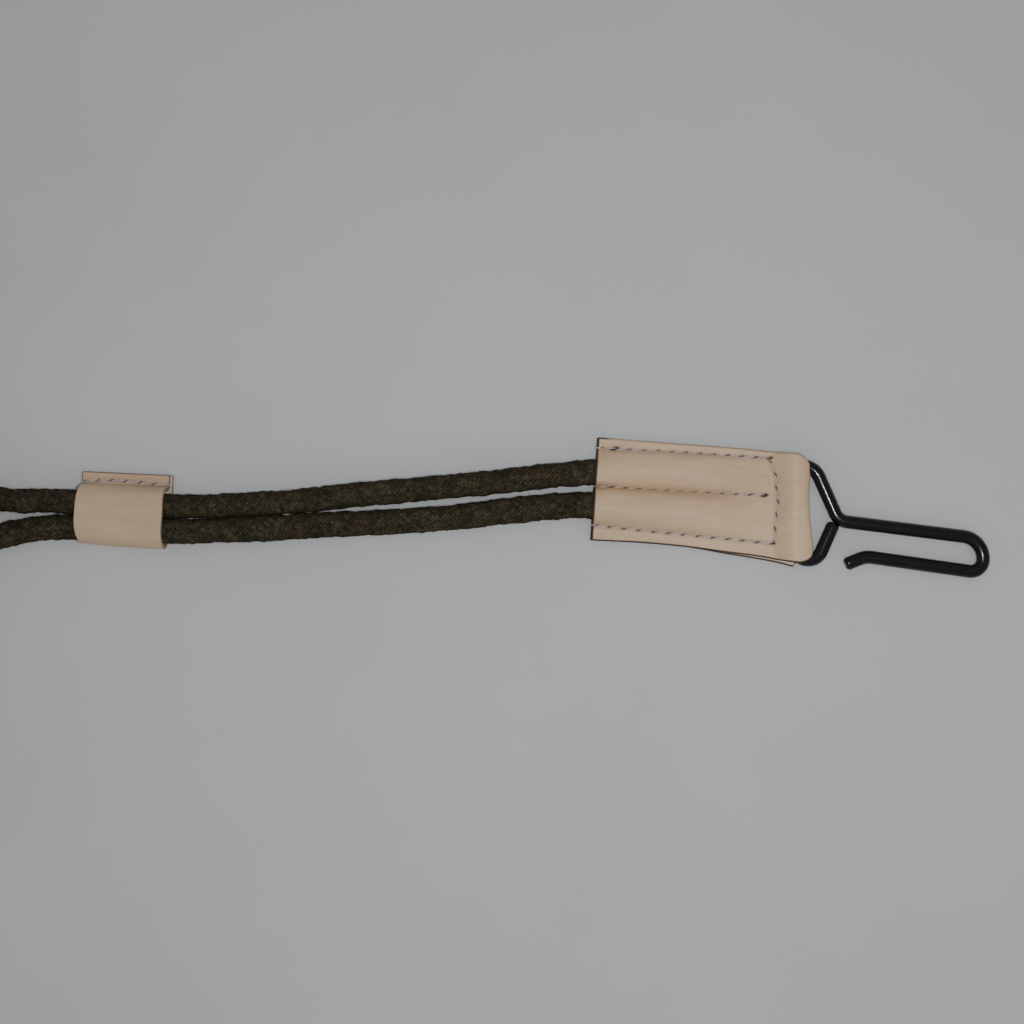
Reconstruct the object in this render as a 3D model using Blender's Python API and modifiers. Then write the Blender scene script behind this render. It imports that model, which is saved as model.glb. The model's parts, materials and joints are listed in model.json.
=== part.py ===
"""A doubled-cord lanyard: wire hook, folded leather tab, braided cord, sliding leather keeper.

Metres, +Z up. The origin is on the middle of the tab's flat back, +X runs along the tab to the hook,
and the whole lanyard lies on the plane z = 0. Lengths named in millimetres end in _MM.
"""

from math import acos, asin, atan2, cos, hypot, pi, radians, sin, sqrt, tan

import bmesh
import bpy
from mathutils import Matrix, Vector

MM = 0.001
NAME = "lanyard"

# Driving dimensions, in millimetres
LEATHER_MM = 1.1
GAP_MM = 0.3
CORD_R_MM = 3.1
WIRE_R_MM = 1.75
THREAD_R_MM = 0.25

# Sewing: pitches, the slit at each hole, the groove under each stitch, and the threads' heights
PITCH_MM = 3.75
CROSS_PITCH_MM = 4.2
KEEPER_PITCH_MM = 4.0
SLIT_MM = (1.9, 1.1)
SLIT_Z_MM = (-1.0, 6.0)
GROOVE_WIDE_MM = 0.9
GROOVE_DEEP_MM = 0.8
GROOVE_SPARE_MM = 0.2
STITCH_FROM_HOLE_MM = 0.45
DIP_FROM_HOLE_MM = 0.3
NEEDLE_UNDER_MM = 0.15
NEEDLE_DIP_MM = 1.65
BOBBIN_UNDER_MM = 0.1
BOBBIN_DIP_MM = 0.85

# Tab: the top layer's outline, by the width at each end, and the seams' ends
TAB_LEFT_MM = -28.8
TAB_HALF_LEFT_MM = 13.65
TAB_HALF_RIGHT_MM = 14.7
TAB_BACK_HALF_RIGHT_MM = 15.3
TAB_MIDDLE_MM = -0.15
TAB_BACK_MIDDLE_MM = -0.7
BAR_X_MM = 24.1
SKEW = radians(5.0)
TOP_SEAM_MM = ((-27.0, 10.9), (16.9, 12.0))
CROSS_SEAM_MM = ((18.6, 9.2), (19.3, -8.2))
BOTTOM_SEAM_MM = ((18.0, -10.5), (-26.6, -9.6))
MIDDLE_SEAM_MM = ((-27.0, 0.7), (15.8, 2.2))
SEAM_FLAT_MM = 1.0
HUMP_MM = 4.2
HUMP_END_MM = 17.0
HUMP_FADE_MM = 4.0
RAMP_START_MM = -4.4
TOP_COLUMNS = 14
BACK_COLUMNS = 4
FOLD_STEPS = 11
TAB_ROWS = 27

# Wire hook, in its own plane: u away from the tab, v along the base bar
HOOK_ORIGIN_MM = (24.0, -3.9)
HOOK_PATH_MM = (
    (9.85, -2.99, 0.0),
    (5.66, -12.4, 3.6),
    (0.0, -12.3, 3.0),
    (0.0, 12.4, 2.2),
    (5.1, 12.1, 4.5),
    (11.2, -2.1, 3.9),
)
SHANK_ANGLE = radians(-7.06)
HOOK_REACH_MM = 50.9
HOOK_BEND_MM = 4.45
TIP_BEND_MM = (18.2, -11.45)
TIP_END_MM = (12.8, -13.6)
TIP_RADIUS_MM = 6.0
BAR_FREE_MM = (-9.5, 10.3)
NOTCH_U_MM = -1.3
NOTCH_SIZE_MM = 30.0
BEND_STEP = radians(22)
TABLE_CLEAR_MM = 0.02

# Cord ends inside the tab, pressed flat: half sizes, and where each starts and stops
END_HALF_MM = (2.6, 1.65)
END_UPPER_MM = ((-28.6, 5.8), (11.5, 6.95))
END_LOWER_MM = ((-28.6, -4.45), (11.5, -4.2))

# Route of the two strands, from the tab to the hank, chosen by hand: x, y, z of the centre line
UPPER_ROUTE_MM = (
    (-29.5, 4.1, 4.5), (-41.8, 1.3, 4.5), (-53.7, -1.1, 4.5), (-66.7, -3.4, 4.5), (-79.6, -5.7, 4.5),
    (-91.5, -7.7, 4.5), (-103.4, -9.6, 4.5), (-115.4, -11.2, 4.5), (-128.3, -12.7, 4.5),
    (-141.3, -13.9, 4.5), (-154.0, -15.0, 4.5), (-166.2, -15.7, 4.5), (-175.2, -16.0, 4.3),
    (-184.4, -16.7, 3.5), (-192.0, -15.9, 3.1),
)
LOWER_ROUTE_MM = (
    (-29.5, -4.3, 4.5), (-40.2, -6.3, 4.5), (-52.3, -8.6, 4.5), (-65.3, -11.0, 4.5), (-78.4, -13.1, 4.5),
    (-90.5, -14.8, 4.5), (-102.6, -16.3, 4.5), (-114.6, -17.7, 4.5), (-127.7, -19.1, 4.5),
    (-140.7, -20.4, 4.5), (-153.6, -21.4, 4.5), (-165.8, -22.4, 4.5), (-174.8, -23.4, 4.3),
    (-183.5, -25.5, 3.5), (-192.0, -28.8, 3.1),
)
ROUTE_STEP_MM = 14.0

# Keeper: where its middle stands on the arc that the strands follow, and its section
KEEPER_AT_MM = (-153.8, -18.2)
KEEPER_TURN = radians(2.3)
KEEPER_LONG_MM = 23.8
KEEPER_HALF_MM = 7.5
KEEPER_FLANGE_MM = 11.0
KEEPER_SEAM_MM = 9.5
KEEPER_SEAM_IN_MM = 1.8
KEEPER_FOOT_MM = ((0.1, 2.9), (0.45, 2.0), (0.75, 1.95))
ARC_RADIUS_MM = 900.0
ARC_DIRECTION = radians(4.3)

# Hank of the cord that is put away, and its tie
HANK_RIGHT_MM = -216.0
HANK_RUN_MM = 84.0
HANK_Y_MM = -22.0
HANK_END_MM = 22.2
HANK_WAIST_MM = 6.6
HANK_BUNDLE_MM = 8.8
HANK_HOLE_TIP_MM = 1.0
HANK_HIGH_MM = 17.0
HANK_RUN_STEPS = 10
HANK_TURN_STEPS = 8
TIE_WIDE_MM = 10.0
TIE_THICK_MM = 0.8
TIE_CORNER_MM = 0.4
TIE_CORNER_STEPS = 3
TIE_SIDE_ROOM_MM = 1.0

CORD_Z_MM = LEATHER_MM + GAP_MM + CORD_R_MM
BAR_Z_MM = LEATHER_MM + GAP_MM + WIRE_R_MM
FLAT_MID_MM = 1.5 * LEATHER_MM + GAP_MM
TAB_TOP_MM = 2 * LEATHER_MM + GAP_MM


def clear_scene():
    for obj in list(bpy.data.objects):
        bpy.data.objects.remove(obj, do_unlink=True)


def collection(name):
    made = bpy.data.collections.new(name)
    bpy.context.scene.collection.children.link(made)
    return made


def material(name, colour, roughness, metallic=0.0):
    made = bpy.data.materials.new(name)
    made.use_nodes = True
    shader = made.node_tree.nodes["Principled BSDF"]
    shader.inputs["Base Color"].default_value = (*colour, 1.0)
    shader.inputs["Roughness"].default_value = roughness
    shader.inputs["Metallic"].default_value = metallic
    return made


def add(name, data, where, finish):
    obj = bpy.data.objects.new(name, data)
    where.objects.link(obj)
    if finish:
        data.materials.append(finish)
    return obj


def tube(name, points_mm, radius_mm, where, finish, sides=2):
    """A round tube with filled caps along points, in millimetres."""
    curve = bpy.data.curves.new(name, "CURVE")
    curve.dimensions = "3D"
    curve.bevel_depth = radius_mm * MM
    curve.bevel_resolution = sides
    curve.use_fill_caps = True
    spline = curve.splines.new("POLY")
    spline.points.add(len(points_mm) - 1)
    for point, at in zip(spline.points, points_mm):
        point.co = (at[0] * MM, at[1] * MM, at[2] * MM, 1.0)
    return add(name, curve, where, finish)


def mesh_from(name, verts_mm, faces, where, finish):
    mesh = bpy.data.meshes.new(name)
    mesh.from_pydata([tuple(c * MM for c in v) for v in verts_mm], [], faces)
    mesh.update()
    return add(name, mesh, where, finish)


def thicken(obj, thickness_mm):
    shell = obj.modifiers.new("thickness", "SOLIDIFY")
    shell.thickness = thickness_mm * MM
    shell.offset = 0.0
    shell.use_even_offset = True


def cutter_box(name, size_mm, at_mm, angle, where, place=Matrix.Identity(4)):
    """A box that cuts: size along its own axes, its centre and its turn about Z, all moved by place."""
    mesh = bpy.data.meshes.new(name)
    shape = bmesh.new()
    bmesh.ops.create_cube(shape, size=1.0)
    bmesh.ops.scale(shape, vec=[s * MM for s in size_mm], verts=shape.verts)
    shape.to_mesh(mesh)
    shape.free()
    box = add(name, mesh, where, None)
    box.matrix_basis = place @ Matrix.Translation(Vector(at_mm) * MM) @ Matrix.Rotation(angle, 4, "Z")
    box.hide_render = True
    box.display_type = "WIRE"
    return box


def cut_with(obj, cutters):
    """Takes every object of a collection out of obj."""
    cut = obj.modifiers.new("cuts", "BOOLEAN")
    cut.operation = "DIFFERENCE"
    cut.operand_type = "COLLECTION"
    cut.collection = cutters
    cut.solver = "EXACT"


def smooth_route(points, step):
    """Points every step along the Catmull-Rom curve through points."""
    line = [Vector(p) for p in points]
    line = [2 * line[0] - line[1]] + line + [2 * line[-1] - line[-2]]
    fine = []
    for a, b, c, d in zip(line, line[1:], line[2:], line[3:]):
        for k in range(20):
            t = k / 20
            curved = (2 * a - 5 * b + 4 * c - d) * t**2 + (3 * b - a - 3 * c + d) * t**3
            fine.append(0.5 * (2 * b + (c - a) * t + curved))
    fine.append(Vector(points[-1]))
    along = [0.0]
    for p, q in zip(fine, fine[1:]):
        along.append(along[-1] + (q - p).length)
    count = max(2, round(along[-1] / step))
    made, at = [], 0
    for k in range(count + 1):
        want = along[-1] * k / count
        while at < len(fine) - 2 and along[at + 1] < want:
            at += 1
        share = (want - along[at]) / (along[at + 1] - along[at])
        made.append(fine[at].lerp(fine[at + 1], share))
    return made


def rounded(path):
    """The corners of a flat path (x, y, radius) made into arcs."""
    corners = [(Vector(p[:2]), p[2]) for p in path]
    made = [corners[0][0]]
    for (a, _), (b, radius), (c, _) in zip(corners, corners[1:], corners[2:]):
        back, on = (a - b).normalized(), (c - b).normalized()
        half = acos(max(-1.0, min(1.0, back.dot(on)))) / 2
        reach = radius / tan(half)
        middle = b + (back + on).normalized() * (radius / sin(half))
        start = b + back * reach - middle
        turn = pi - 2 * half
        side = 1 if back.x * on.y - back.y * on.x < 0 else -1
        steps = max(2, round(turn / BEND_STEP))
        for k in range(steps + 1):
            made.append(middle + Matrix.Rotation(side * turn * k / steps, 2) @ start)
    made.append(corners[-1][0])
    return made


def hook_to_world(u, v):
    """A point of the hook's plane in the lanyard's frame, with the hook flat."""
    x, y = u + HOOK_ORIGIN_MM[0], v + HOOK_ORIGIN_MM[1]
    return x * cos(SKEW) - y * sin(SKEW), x * sin(SKEW) + y * cos(SKEW)


def bar_x(y):
    """Where the base bar crosses y, in millimetres."""
    return BAR_X_MM - tan(SKEW) * y


def build_hook(parts, finish):
    """The bent wire, on an empty whose Y axis is the base bar. It lies tilted, with its bend on the table."""
    along = Vector((cos(SHANK_ANGLE), sin(SHANK_ANGLE)))
    across = Vector((sin(SHANK_ANGLE), -cos(SHANK_ANGLE)))
    apex = Vector(HOOK_PATH_MM[-1][:2])
    shank = HOOK_REACH_MM - WIRE_R_MM - apex.x - across.x * HOOK_BEND_MM
    far = apex + along * shank
    leg = far + across * 2 * HOOK_BEND_MM
    path = list(HOOK_PATH_MM)
    path += [(*far, HOOK_BEND_MM), (*leg, HOOK_BEND_MM), (*TIP_BEND_MM, TIP_RADIUS_MM), (*TIP_END_MM, 0.0)]
    joint = bpy.data.objects.new("hook_axis", None)
    parts.objects.link(joint)
    x, y = hook_to_world(0.0, 0.0)
    joint.location = (x * MM, y * MM, BAR_Z_MM * MM)
    joint.rotation_euler = (0.0, 0.0, SKEW)
    hook = tube("wire_hook", [(p.x, p.y, 0.0) for p in rounded(path)], WIRE_R_MM, parts, finish, sides=3)
    hook.parent = joint
    lie = asin((BAR_Z_MM - WIRE_R_MM - TABLE_CLEAR_MM) / (HOOK_REACH_MM - WIRE_R_MM))
    hook.rotation_euler = (0.0, lie, 0.0)


def seam_y(seam, x):
    """Where a seam that runs along the tab crosses x."""
    (x0, y0), (x1, y1) = seam
    return y0 + (y1 - y0) * (x - x0) / (x1 - x0)


def hump(x, y):
    """How far the tab's top layer stands up over the cord ends, between its three long seams."""
    rows = [seam_y(seam, x) for seam in (TOP_SEAM_MM, MIDDLE_SEAM_MM, BOTTOM_SEAM_MM)]
    height = 0.0
    for high, low in zip(rows, rows[1:]):
        off = abs(y - (high + low) / 2) / ((high - low) / 2 - SEAM_FLAT_MM)
        if off < 1:
            height = HUMP_MM * (1 - off**3)
    fade = min(1.0, max(0.0, (HUMP_END_MM - x) / HUMP_FADE_MM))
    return height * fade * fade * (3 - 2 * fade)


def tab_profile():
    """The folded strip from the side: (layer, place, z).

    Place is a share of a flat layer's length, or millimetres from the bar.
    """
    reach = WIRE_R_MM + GAP_MM + LEATHER_MM / 2
    rise = BAR_Z_MM - FLAT_MID_MM
    start = pi / 2 + atan2(rise, -RAMP_START_MM) + asin(reach / hypot(RAMP_START_MM, rise))
    points = [("top", k / TOP_COLUMNS, FLAT_MID_MM) for k in range(TOP_COLUMNS)]
    points.append(("fold", RAMP_START_MM, FLAT_MID_MM))
    for k in range(FOLD_STEPS + 1):
        angle = start - (start + pi / 2) * k / FOLD_STEPS
        points.append(("fold", reach * cos(angle), BAR_Z_MM + reach * sin(angle)))
    points += [("back", 1 - k / BACK_COLUMNS, LEATHER_MM / 2) for k in range(1, BACK_COLUMNS + 1)]
    return points


def tab_point(layer, place, level, t):
    """A point of the folded strip's middle surface, t from -1 to 1 across it."""
    share = 1.0 if layer == "fold" else place
    half_right, middle_right = TAB_HALF_RIGHT_MM, TAB_MIDDLE_MM
    if layer == "back":
        half_right, middle_right = TAB_BACK_HALF_RIGHT_MM, TAB_BACK_MIDDLE_MM
    half = TAB_HALF_LEFT_MM + (half_right - TAB_HALF_LEFT_MM) * share
    y = TAB_MIDDLE_MM + (middle_right - TAB_MIDDLE_MM) * share + t * half
    if layer == "fold":
        return bar_x(y) + place, y, level
    end = bar_x(y) + (RAMP_START_MM if layer == "top" else 0.0)
    x = TAB_LEFT_MM + (end - TAB_LEFT_MM) * share
    return x, y, level + (hump(x, y) if layer == "top" else 0.0)


def build_tab(parts, cutters, finish):
    """The strip of leather folded over the base bar, with its holes, grooves and notched corners."""
    profile = tab_profile()
    across = [2 * j / (TAB_ROWS - 1) - 1 for j in range(TAB_ROWS)]
    verts = [tab_point(*place, t) for place in profile for t in across]
    faces = [
        (i * TAB_ROWS + j, (i + 1) * TAB_ROWS + j, (i + 1) * TAB_ROWS + j + 1, i * TAB_ROWS + j + 1)
        for i in range(len(profile) - 1)
        for j in range(TAB_ROWS - 1)
    ]
    tab = mesh_from("tab_leather", verts, faces, parts, finish)
    thicken(tab, LEATHER_MM)
    low, high = BAR_FREE_MM
    half = NOTCH_SIZE_MM / 2
    for name, v in (("upper", high + half), ("lower", low - half)):
        x, y = hook_to_world(NOTCH_U_MM + half, v)
        cutter_box(f"notch_{name}", (NOTCH_SIZE_MM,) * 3, (x, y, 0.0), SKEW, cutters)
    cut_with(tab, cutters)


def seam_holes(start, end, pitch=PITCH_MM):
    """Stitch holes from start to end, each with the row's direction."""
    a, b = Vector(start), Vector(end)
    count = max(1, round((b - a).length / pitch))
    return [(a.lerp(b, k / count), (b - a).normalized()) for k in range(count + 1)]


def cut_seam(name, holes, cutters, place=Matrix.Identity(4)):
    """Slits for the stitches, and a groove under each stitch on the flesh side."""
    low, high = SLIT_Z_MM
    for k, (at, on) in enumerate(holes):
        where = (at.x, at.y, (low + high) / 2)
        cutter_box(f"{name}_slit_{k}", (*SLIT_MM, high - low), where, atan2(on.y, on.x), cutters, place)
    for k, ((a, _), (b, _)) in enumerate(zip(holes, holes[1:])):
        middle, on = (a + b) / 2, b - a
        size = (on.length + GROOVE_SPARE_MM, GROOVE_WIDE_MM, 2 * GROOVE_DEEP_MM)
        cutter_box(f"{name}_groove_{k}", size, (*middle, 0.0), atan2(on.y, on.x), cutters, place)


def sew(name, holes, parts, finish, needle):
    """One thread of a seam: along the surface between holes, dipping into each to meet the other thread."""
    under, dip = (TAB_TOP_MM + NEEDLE_UNDER_MM, NEEDLE_DIP_MM) if needle else (BOBBIN_UNDER_MM, BOBBIN_DIP_MM)
    flat = under + THREAD_R_MM
    points = []
    for (a, _), (b, _) in zip(holes, holes[1:]):
        on = (b - a).normalized()
        points.append((*(a + on * DIP_FROM_HOLE_MM), dip))
        points.append((*(a + on * STITCH_FROM_HOLE_MM), flat))
        points.append((*(b - on * STITCH_FROM_HOLE_MM), flat))
        points.append((*(b - on * DIP_FROM_HOLE_MM), dip))
    kind = "needle" if needle else "bobbin"
    return tube(f"{name}_{kind}_thread", points, THREAD_R_MM, parts, finish, sides=1)


def build_cord_end(name, start, stop, parts, finish):
    """A cord end pressed flat inside the tab: an elliptic bar from start to stop."""
    a, b = Vector(start), Vector(stop)
    mesh = bpy.data.meshes.new(name)
    shape = bmesh.new()
    bmesh.ops.create_cone(shape, cap_ends=True, segments=20, radius1=1.0, radius2=1.0, depth=1.0)
    bmesh.ops.rotate(shape, matrix=Matrix.Rotation(pi / 2, 3, "Y"), verts=shape.verts)
    size = ((b - a).length * MM, END_HALF_MM[0] * MM, END_HALF_MM[1] * MM)
    bmesh.ops.scale(shape, vec=size, verts=shape.verts)
    shape.to_mesh(mesh)
    shape.free()
    end = add(name, mesh, parts, finish)
    middle = (a + b) / 2
    end.location = (middle.x * MM, middle.y * MM, (LEATHER_MM + GAP_MM + END_HALF_MM[1]) * MM)
    end.rotation_euler = (0.0, 0.0, atan2((b - a).y, (b - a).x))


def build_cord(parts, finish):
    """The two strands, and the flattened ends inside the tab."""
    for name, route in (("upper", UPPER_ROUTE_MM), ("lower", LOWER_ROUTE_MM)):
        tube(f"cord_{name}_strand", smooth_route(route, ROUTE_STEP_MM), CORD_R_MM, parts, finish)
    build_cord_end("cord_end_upper", *END_UPPER_MM, parts, finish)
    build_cord_end("cord_end_lower", *END_LOWER_MM, parts, finish)


def keeper_section():
    """The keeper's middle surface across the cord: (y, z), from the lower flange round to the upper one."""
    rise = LEATHER_MM / 2 + CORD_R_MM + GAP_MM
    side = KEEPER_HALF_MM - CORD_R_MM - GAP_MM
    points = [(KEEPER_FLANGE_MM, LEATHER_MM / 2), (0.0, LEATHER_MM / 2)]
    for k in range(9):
        angle = -pi / 2 - pi * k / 8
        points.append((-side + rise * cos(angle), CORD_Z_MM + rise * sin(angle)))
    for k in range(5):
        angle = pi / 2 - pi / 2 * k / 4
        points.append((side + rise * cos(angle), CORD_Z_MM + rise * sin(angle)))
    points += [(side + rise + out, z) for out, z in KEEPER_FOOT_MM]
    points.append((KEEPER_FLANGE_MM, FLAT_MID_MM))
    return points


def build_keeper(parts, cutters, leather, thread):
    """The sliding leather loop, on an empty at the middle of the arc that it travels along."""
    to_centre = Vector((-sin(ARC_DIRECTION), cos(ARC_DIRECTION), 0.0))
    centre = Vector((*KEEPER_AT_MM, 0.0)) + ARC_RADIUS_MM * to_centre
    joint = bpy.data.objects.new("keeper_axis", None)
    parts.objects.link(joint)
    joint.location = centre * MM
    at = Vector((*KEEPER_AT_MM, 0.0)) - centre
    place = Matrix.Translation(at * MM) @ Matrix.Rotation(KEEPER_TURN, 4, "Z")
    section = keeper_section()
    half = KEEPER_LONG_MM / 2
    verts = [(x, y, z) for x in (-half, half) for y, z in section]
    count = len(section)
    faces = [(i, i + 1, count + i + 1, count + i) for i in range(count - 1)]
    keeper = mesh_from("keeper_leather", verts, faces, parts, leather)
    thicken(keeper, LEATHER_MM)
    seam_end = half - KEEPER_SEAM_IN_MM
    holes = seam_holes((-seam_end, KEEPER_SEAM_MM), (seam_end, KEEPER_SEAM_MM), KEEPER_PITCH_MM)
    cut_seam("keeper", holes, cutters, Matrix.Translation(centre * MM) @ place)
    cut_with(keeper, cutters)
    for piece in (keeper, *(sew("keeper", holes, parts, thread, needle) for needle in (True, False))):
        piece.parent = joint
        piece.matrix_basis = place


def hank_half(x):
    """The hank's half width at x from its middle, where its runs are pinched together."""
    return HANK_END_MM - (HANK_END_MM - HANK_WAIST_MM) * cos(pi * x / HANK_RUN_MM) ** 2


def half_circle(x, radius, side):
    """Points round one end of the hank, between its two runs."""
    turns = [pi / 2 - side * pi * k / HANK_TURN_STEPS for k in range(1, HANK_TURN_STEPS)]
    return [(x + radius * cos(turn), radius * sin(turn)) for turn in turns]


def hank_outlines():
    """The hank from above, about its middle: its outer edge, and the open middle of each end."""
    half = HANK_RUN_MM / 2
    runs = [half - HANK_RUN_MM * k / HANK_RUN_STEPS for k in range(HANK_RUN_STEPS + 1)]
    outer = [(x, hank_half(x)) for x in runs] + half_circle(-half, HANK_END_MM, -1)
    outer += [(-x, -hank_half(x)) for x in runs] + half_circle(half, HANK_END_MM, 1)[::-1]
    tip = HANK_BUNDLE_MM + HANK_HOLE_TIP_MM
    start = HANK_RUN_MM / pi * acos(sqrt((HANK_END_MM - tip) / (HANK_END_MM - HANK_WAIST_MM)))
    holes = []
    for side in (1, -1):
        steps = [side * (start + (half - start) * k / 4) for k in range(5)]
        edge = [(x, hank_half(x) - HANK_BUNDLE_MM) for x in steps]
        round_end = half_circle(side * half, HANK_END_MM - HANK_BUNDLE_MM, side)
        holes.append(edge + round_end + [(x, -y) for x, y in reversed(edge)])
    return [outer, *holes]


def build_hank(parts, cord, tape):
    """The hank of spare cord, waisted where the tie holds it, and the tie."""
    middle = HANK_RIGHT_MM - HANK_RUN_MM / 2
    curve = bpy.data.curves.new("cord_hank", "CURVE")
    curve.dimensions = "2D"
    curve.fill_mode = "BOTH"
    curve.extrude = HANK_HIGH_MM * MM / 2
    for outline in hank_outlines():
        spline = curve.splines.new("POLY")
        spline.points.add(len(outline) - 1)
        spline.use_cyclic_u = True
        for point, (x, y) in zip(spline.points, outline):
            point.co = (x * MM, y * MM, 0.0, 1.0)
    hank = add("cord_hank", curve, parts, cord)
    hank.location = (middle * MM, HANK_Y_MM * MM, (TIE_THICK_MM + GAP_MM + HANK_HIGH_MM / 2) * MM)
    inner_y, inner_z = HANK_WAIST_MM + TIE_SIDE_ROOM_MM, HANK_HIGH_MM / 2 + GAP_MM
    radius = TIE_CORNER_MM + TIE_THICK_MM / 2
    ring = []
    for k, (sy, sz) in enumerate(((1, 1), (-1, 1), (-1, -1), (1, -1))):
        for step in range(TIE_CORNER_STEPS + 1):
            angle = pi / 2 * (k + step / TIE_CORNER_STEPS)
            y = sy * (inner_y - TIE_CORNER_MM) + radius * cos(angle)
            z = sz * (inner_z - TIE_CORNER_MM) + radius * sin(angle)
            ring.append((y + HANK_Y_MM, z + TIE_THICK_MM + inner_z))
    count = len(ring)
    verts = [(middle + x, y, z) for x in (-TIE_WIDE_MM / 2, TIE_WIDE_MM / 2) for y, z in ring]
    faces = [(i, (i + 1) % count, count + (i + 1) % count, count + i) for i in range(count)]
    tie = mesh_from("hank_tie", verts, faces, parts, tape)
    thicken(tie, TIE_THICK_MM)


def main():
    clear_scene()
    parts, tab_cutters, keeper_cutters = collection(NAME), collection("tab_cuts"), collection("keeper_cuts")
    steel = material("black_lacquered_steel", (0.012, 0.012, 0.014), 0.28, 0.0)
    leather = material("natural_leather", (0.62, 0.47, 0.36), 0.55)
    cotton = material("olive_cotton_braid", (0.055, 0.052, 0.03), 0.95)
    thread = material("linen_thread", (0.55, 0.52, 0.5), 0.8)
    tape = material("cotton_tape", (0.08, 0.075, 0.045), 0.9)
    build_hook(parts, steel)
    edge = seam_holes(*TOP_SEAM_MM) + seam_holes(*CROSS_SEAM_MM, CROSS_PITCH_MM) + seam_holes(*BOTTOM_SEAM_MM)
    middle = seam_holes(*MIDDLE_SEAM_MM)
    build_tab(parts, tab_cutters, leather)
    for name, holes in (("tab_edge", edge), ("tab_middle", middle)):
        cut_seam(name, holes, tab_cutters)
        for needle in (True, False):
            sew(name, holes, parts, thread, needle)
    build_cord(parts, cotton)
    build_keeper(parts, keeper_cutters, leather, thread)
    build_hank(parts, cotton, tape)


main()
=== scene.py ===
"""The looks of a doubled-cord lanyard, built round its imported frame.

Lengths named _MM are in millimetres; the scene is in metres. The lanyard lies on the plane z = 0.
"""

import json
from math import acos, asin, atan2, cos, hypot, pi, radians, sin, tan

import bpy
import numpy as np
from mathutils import Matrix, Vector

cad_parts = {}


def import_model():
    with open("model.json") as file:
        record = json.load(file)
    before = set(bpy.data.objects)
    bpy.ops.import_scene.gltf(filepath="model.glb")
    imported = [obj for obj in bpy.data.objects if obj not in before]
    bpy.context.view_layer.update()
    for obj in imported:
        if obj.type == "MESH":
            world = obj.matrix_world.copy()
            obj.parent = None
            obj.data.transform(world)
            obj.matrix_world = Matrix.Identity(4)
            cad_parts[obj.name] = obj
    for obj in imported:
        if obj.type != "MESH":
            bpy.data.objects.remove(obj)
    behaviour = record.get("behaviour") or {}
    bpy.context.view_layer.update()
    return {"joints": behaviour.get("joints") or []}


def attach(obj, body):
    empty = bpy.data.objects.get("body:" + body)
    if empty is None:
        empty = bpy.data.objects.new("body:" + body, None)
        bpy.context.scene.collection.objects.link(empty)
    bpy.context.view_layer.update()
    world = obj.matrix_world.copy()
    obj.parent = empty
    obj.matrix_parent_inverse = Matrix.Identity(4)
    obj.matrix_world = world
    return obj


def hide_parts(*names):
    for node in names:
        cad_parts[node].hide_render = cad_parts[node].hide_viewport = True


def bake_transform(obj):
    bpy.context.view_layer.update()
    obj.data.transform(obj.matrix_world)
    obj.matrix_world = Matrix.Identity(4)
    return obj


MM = 0.001
SEED = 11

# Driving dimensions, as the frame has them
LEATHER_MM = 1.1
GAP_MM = 0.3
CORD_R_MM = 3.1
WIRE_R_MM = 1.75

# Camera
CAMERA_AT_MM = (-24.5, -31.9, 450.0)
CAMERA_LOOKS_AT_MM = (-50.2, -7.9, 0.0)
CAMERA_TURN = radians(5.0)
CAMERA_VIEW = radians(33.66)

# Floor, lights and surroundings. A light: name, place, what it is turned to, size, watts, leaves a highlight
FLOOR_HALF = 2.0
FLOOR_DROP = 0.0002
LIGHTS = (
    ("lamp", (-0.01, -0.035, 0.38), (-0.01, 0.0, 0.0), 0.035, 0.62, True),
    ("sky", (-0.1, 0.2, 2.4), (-0.1, 0.0, 0.0), 3.2, 6.8, False),
    ("side", (0.5, -0.6, 0.55), (-0.05, 0.0, 0.0), 0.6, 0.9, False),
)
AIR_COLOUR = (0.8, 0.83, 0.86, 1.0)
AIR_STRENGTH = 0.32

# Route of the two strands, from the tab to the hank, as listed points: x, y, z of the centre line
UPPER_ROUTE_MM = (
    (-29.5, 4.2, 4.1), (-41.8, 2.1, 4.5), (-53.7, -0.4, 4.5), (-66.7, -2.8, 4.5), (-79.6, -5.1, 4.5),
    (-91.5, -7.2, 4.5), (-103.4, -9.6, 4.5), (-115.4, -11.6, 4.5), (-128.3, -13.4, 4.5),
    (-141.3, -14.7, 4.5), (-154.0, -15.3, 4.5), (-166.2, -15.7, 4.5), (-175.2, -16.0, 4.3),
    (-184.4, -16.8, 3.5), (-192.0, -15.9, 3.1),
)
LOWER_ROUTE_MM = (
    (-29.5, -4.5, 4.1), (-40.2, -5.9, 4.5), (-52.3, -8.3, 4.5), (-65.3, -10.9, 4.5), (-78.4, -13.1, 4.5),
    (-90.5, -14.8, 4.5), (-102.6, -16.4, 4.5), (-114.6, -18.2, 4.5), (-127.7, -19.9, 4.5),
    (-140.7, -21.2, 4.5), (-153.6, -21.7, 4.5), (-165.8, -22.4, 4.5), (-174.8, -23.4, 4.3),
    (-183.5, -25.5, 3.5), (-192.0, -28.8, 3.1),
)
# The same cord on from there: inside the tab's pockets, and out to the hank's two outer runs
UPPER_POCKET_MM = ((-3.0, 6.6, 3.0), (-12.0, 6.4, 3.0), (-21.0, 5.7, 3.1))
LOWER_POCKET_MM = ((-3.0, -4.3, 3.0), (-12.0, -4.35, 3.0), (-21.0, -4.4, 3.1))
UPPER_LEAD_MM = ((-199.5, -12.0, 3.1), (-207.0, -7.9, 3.1), (-214.0, -4.9, 3.1))
LOWER_LEAD_MM = ((-199.5, -32.4, 3.1), (-207.0, -36.3, 3.1), (-214.0, -39.2, 3.1))

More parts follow.
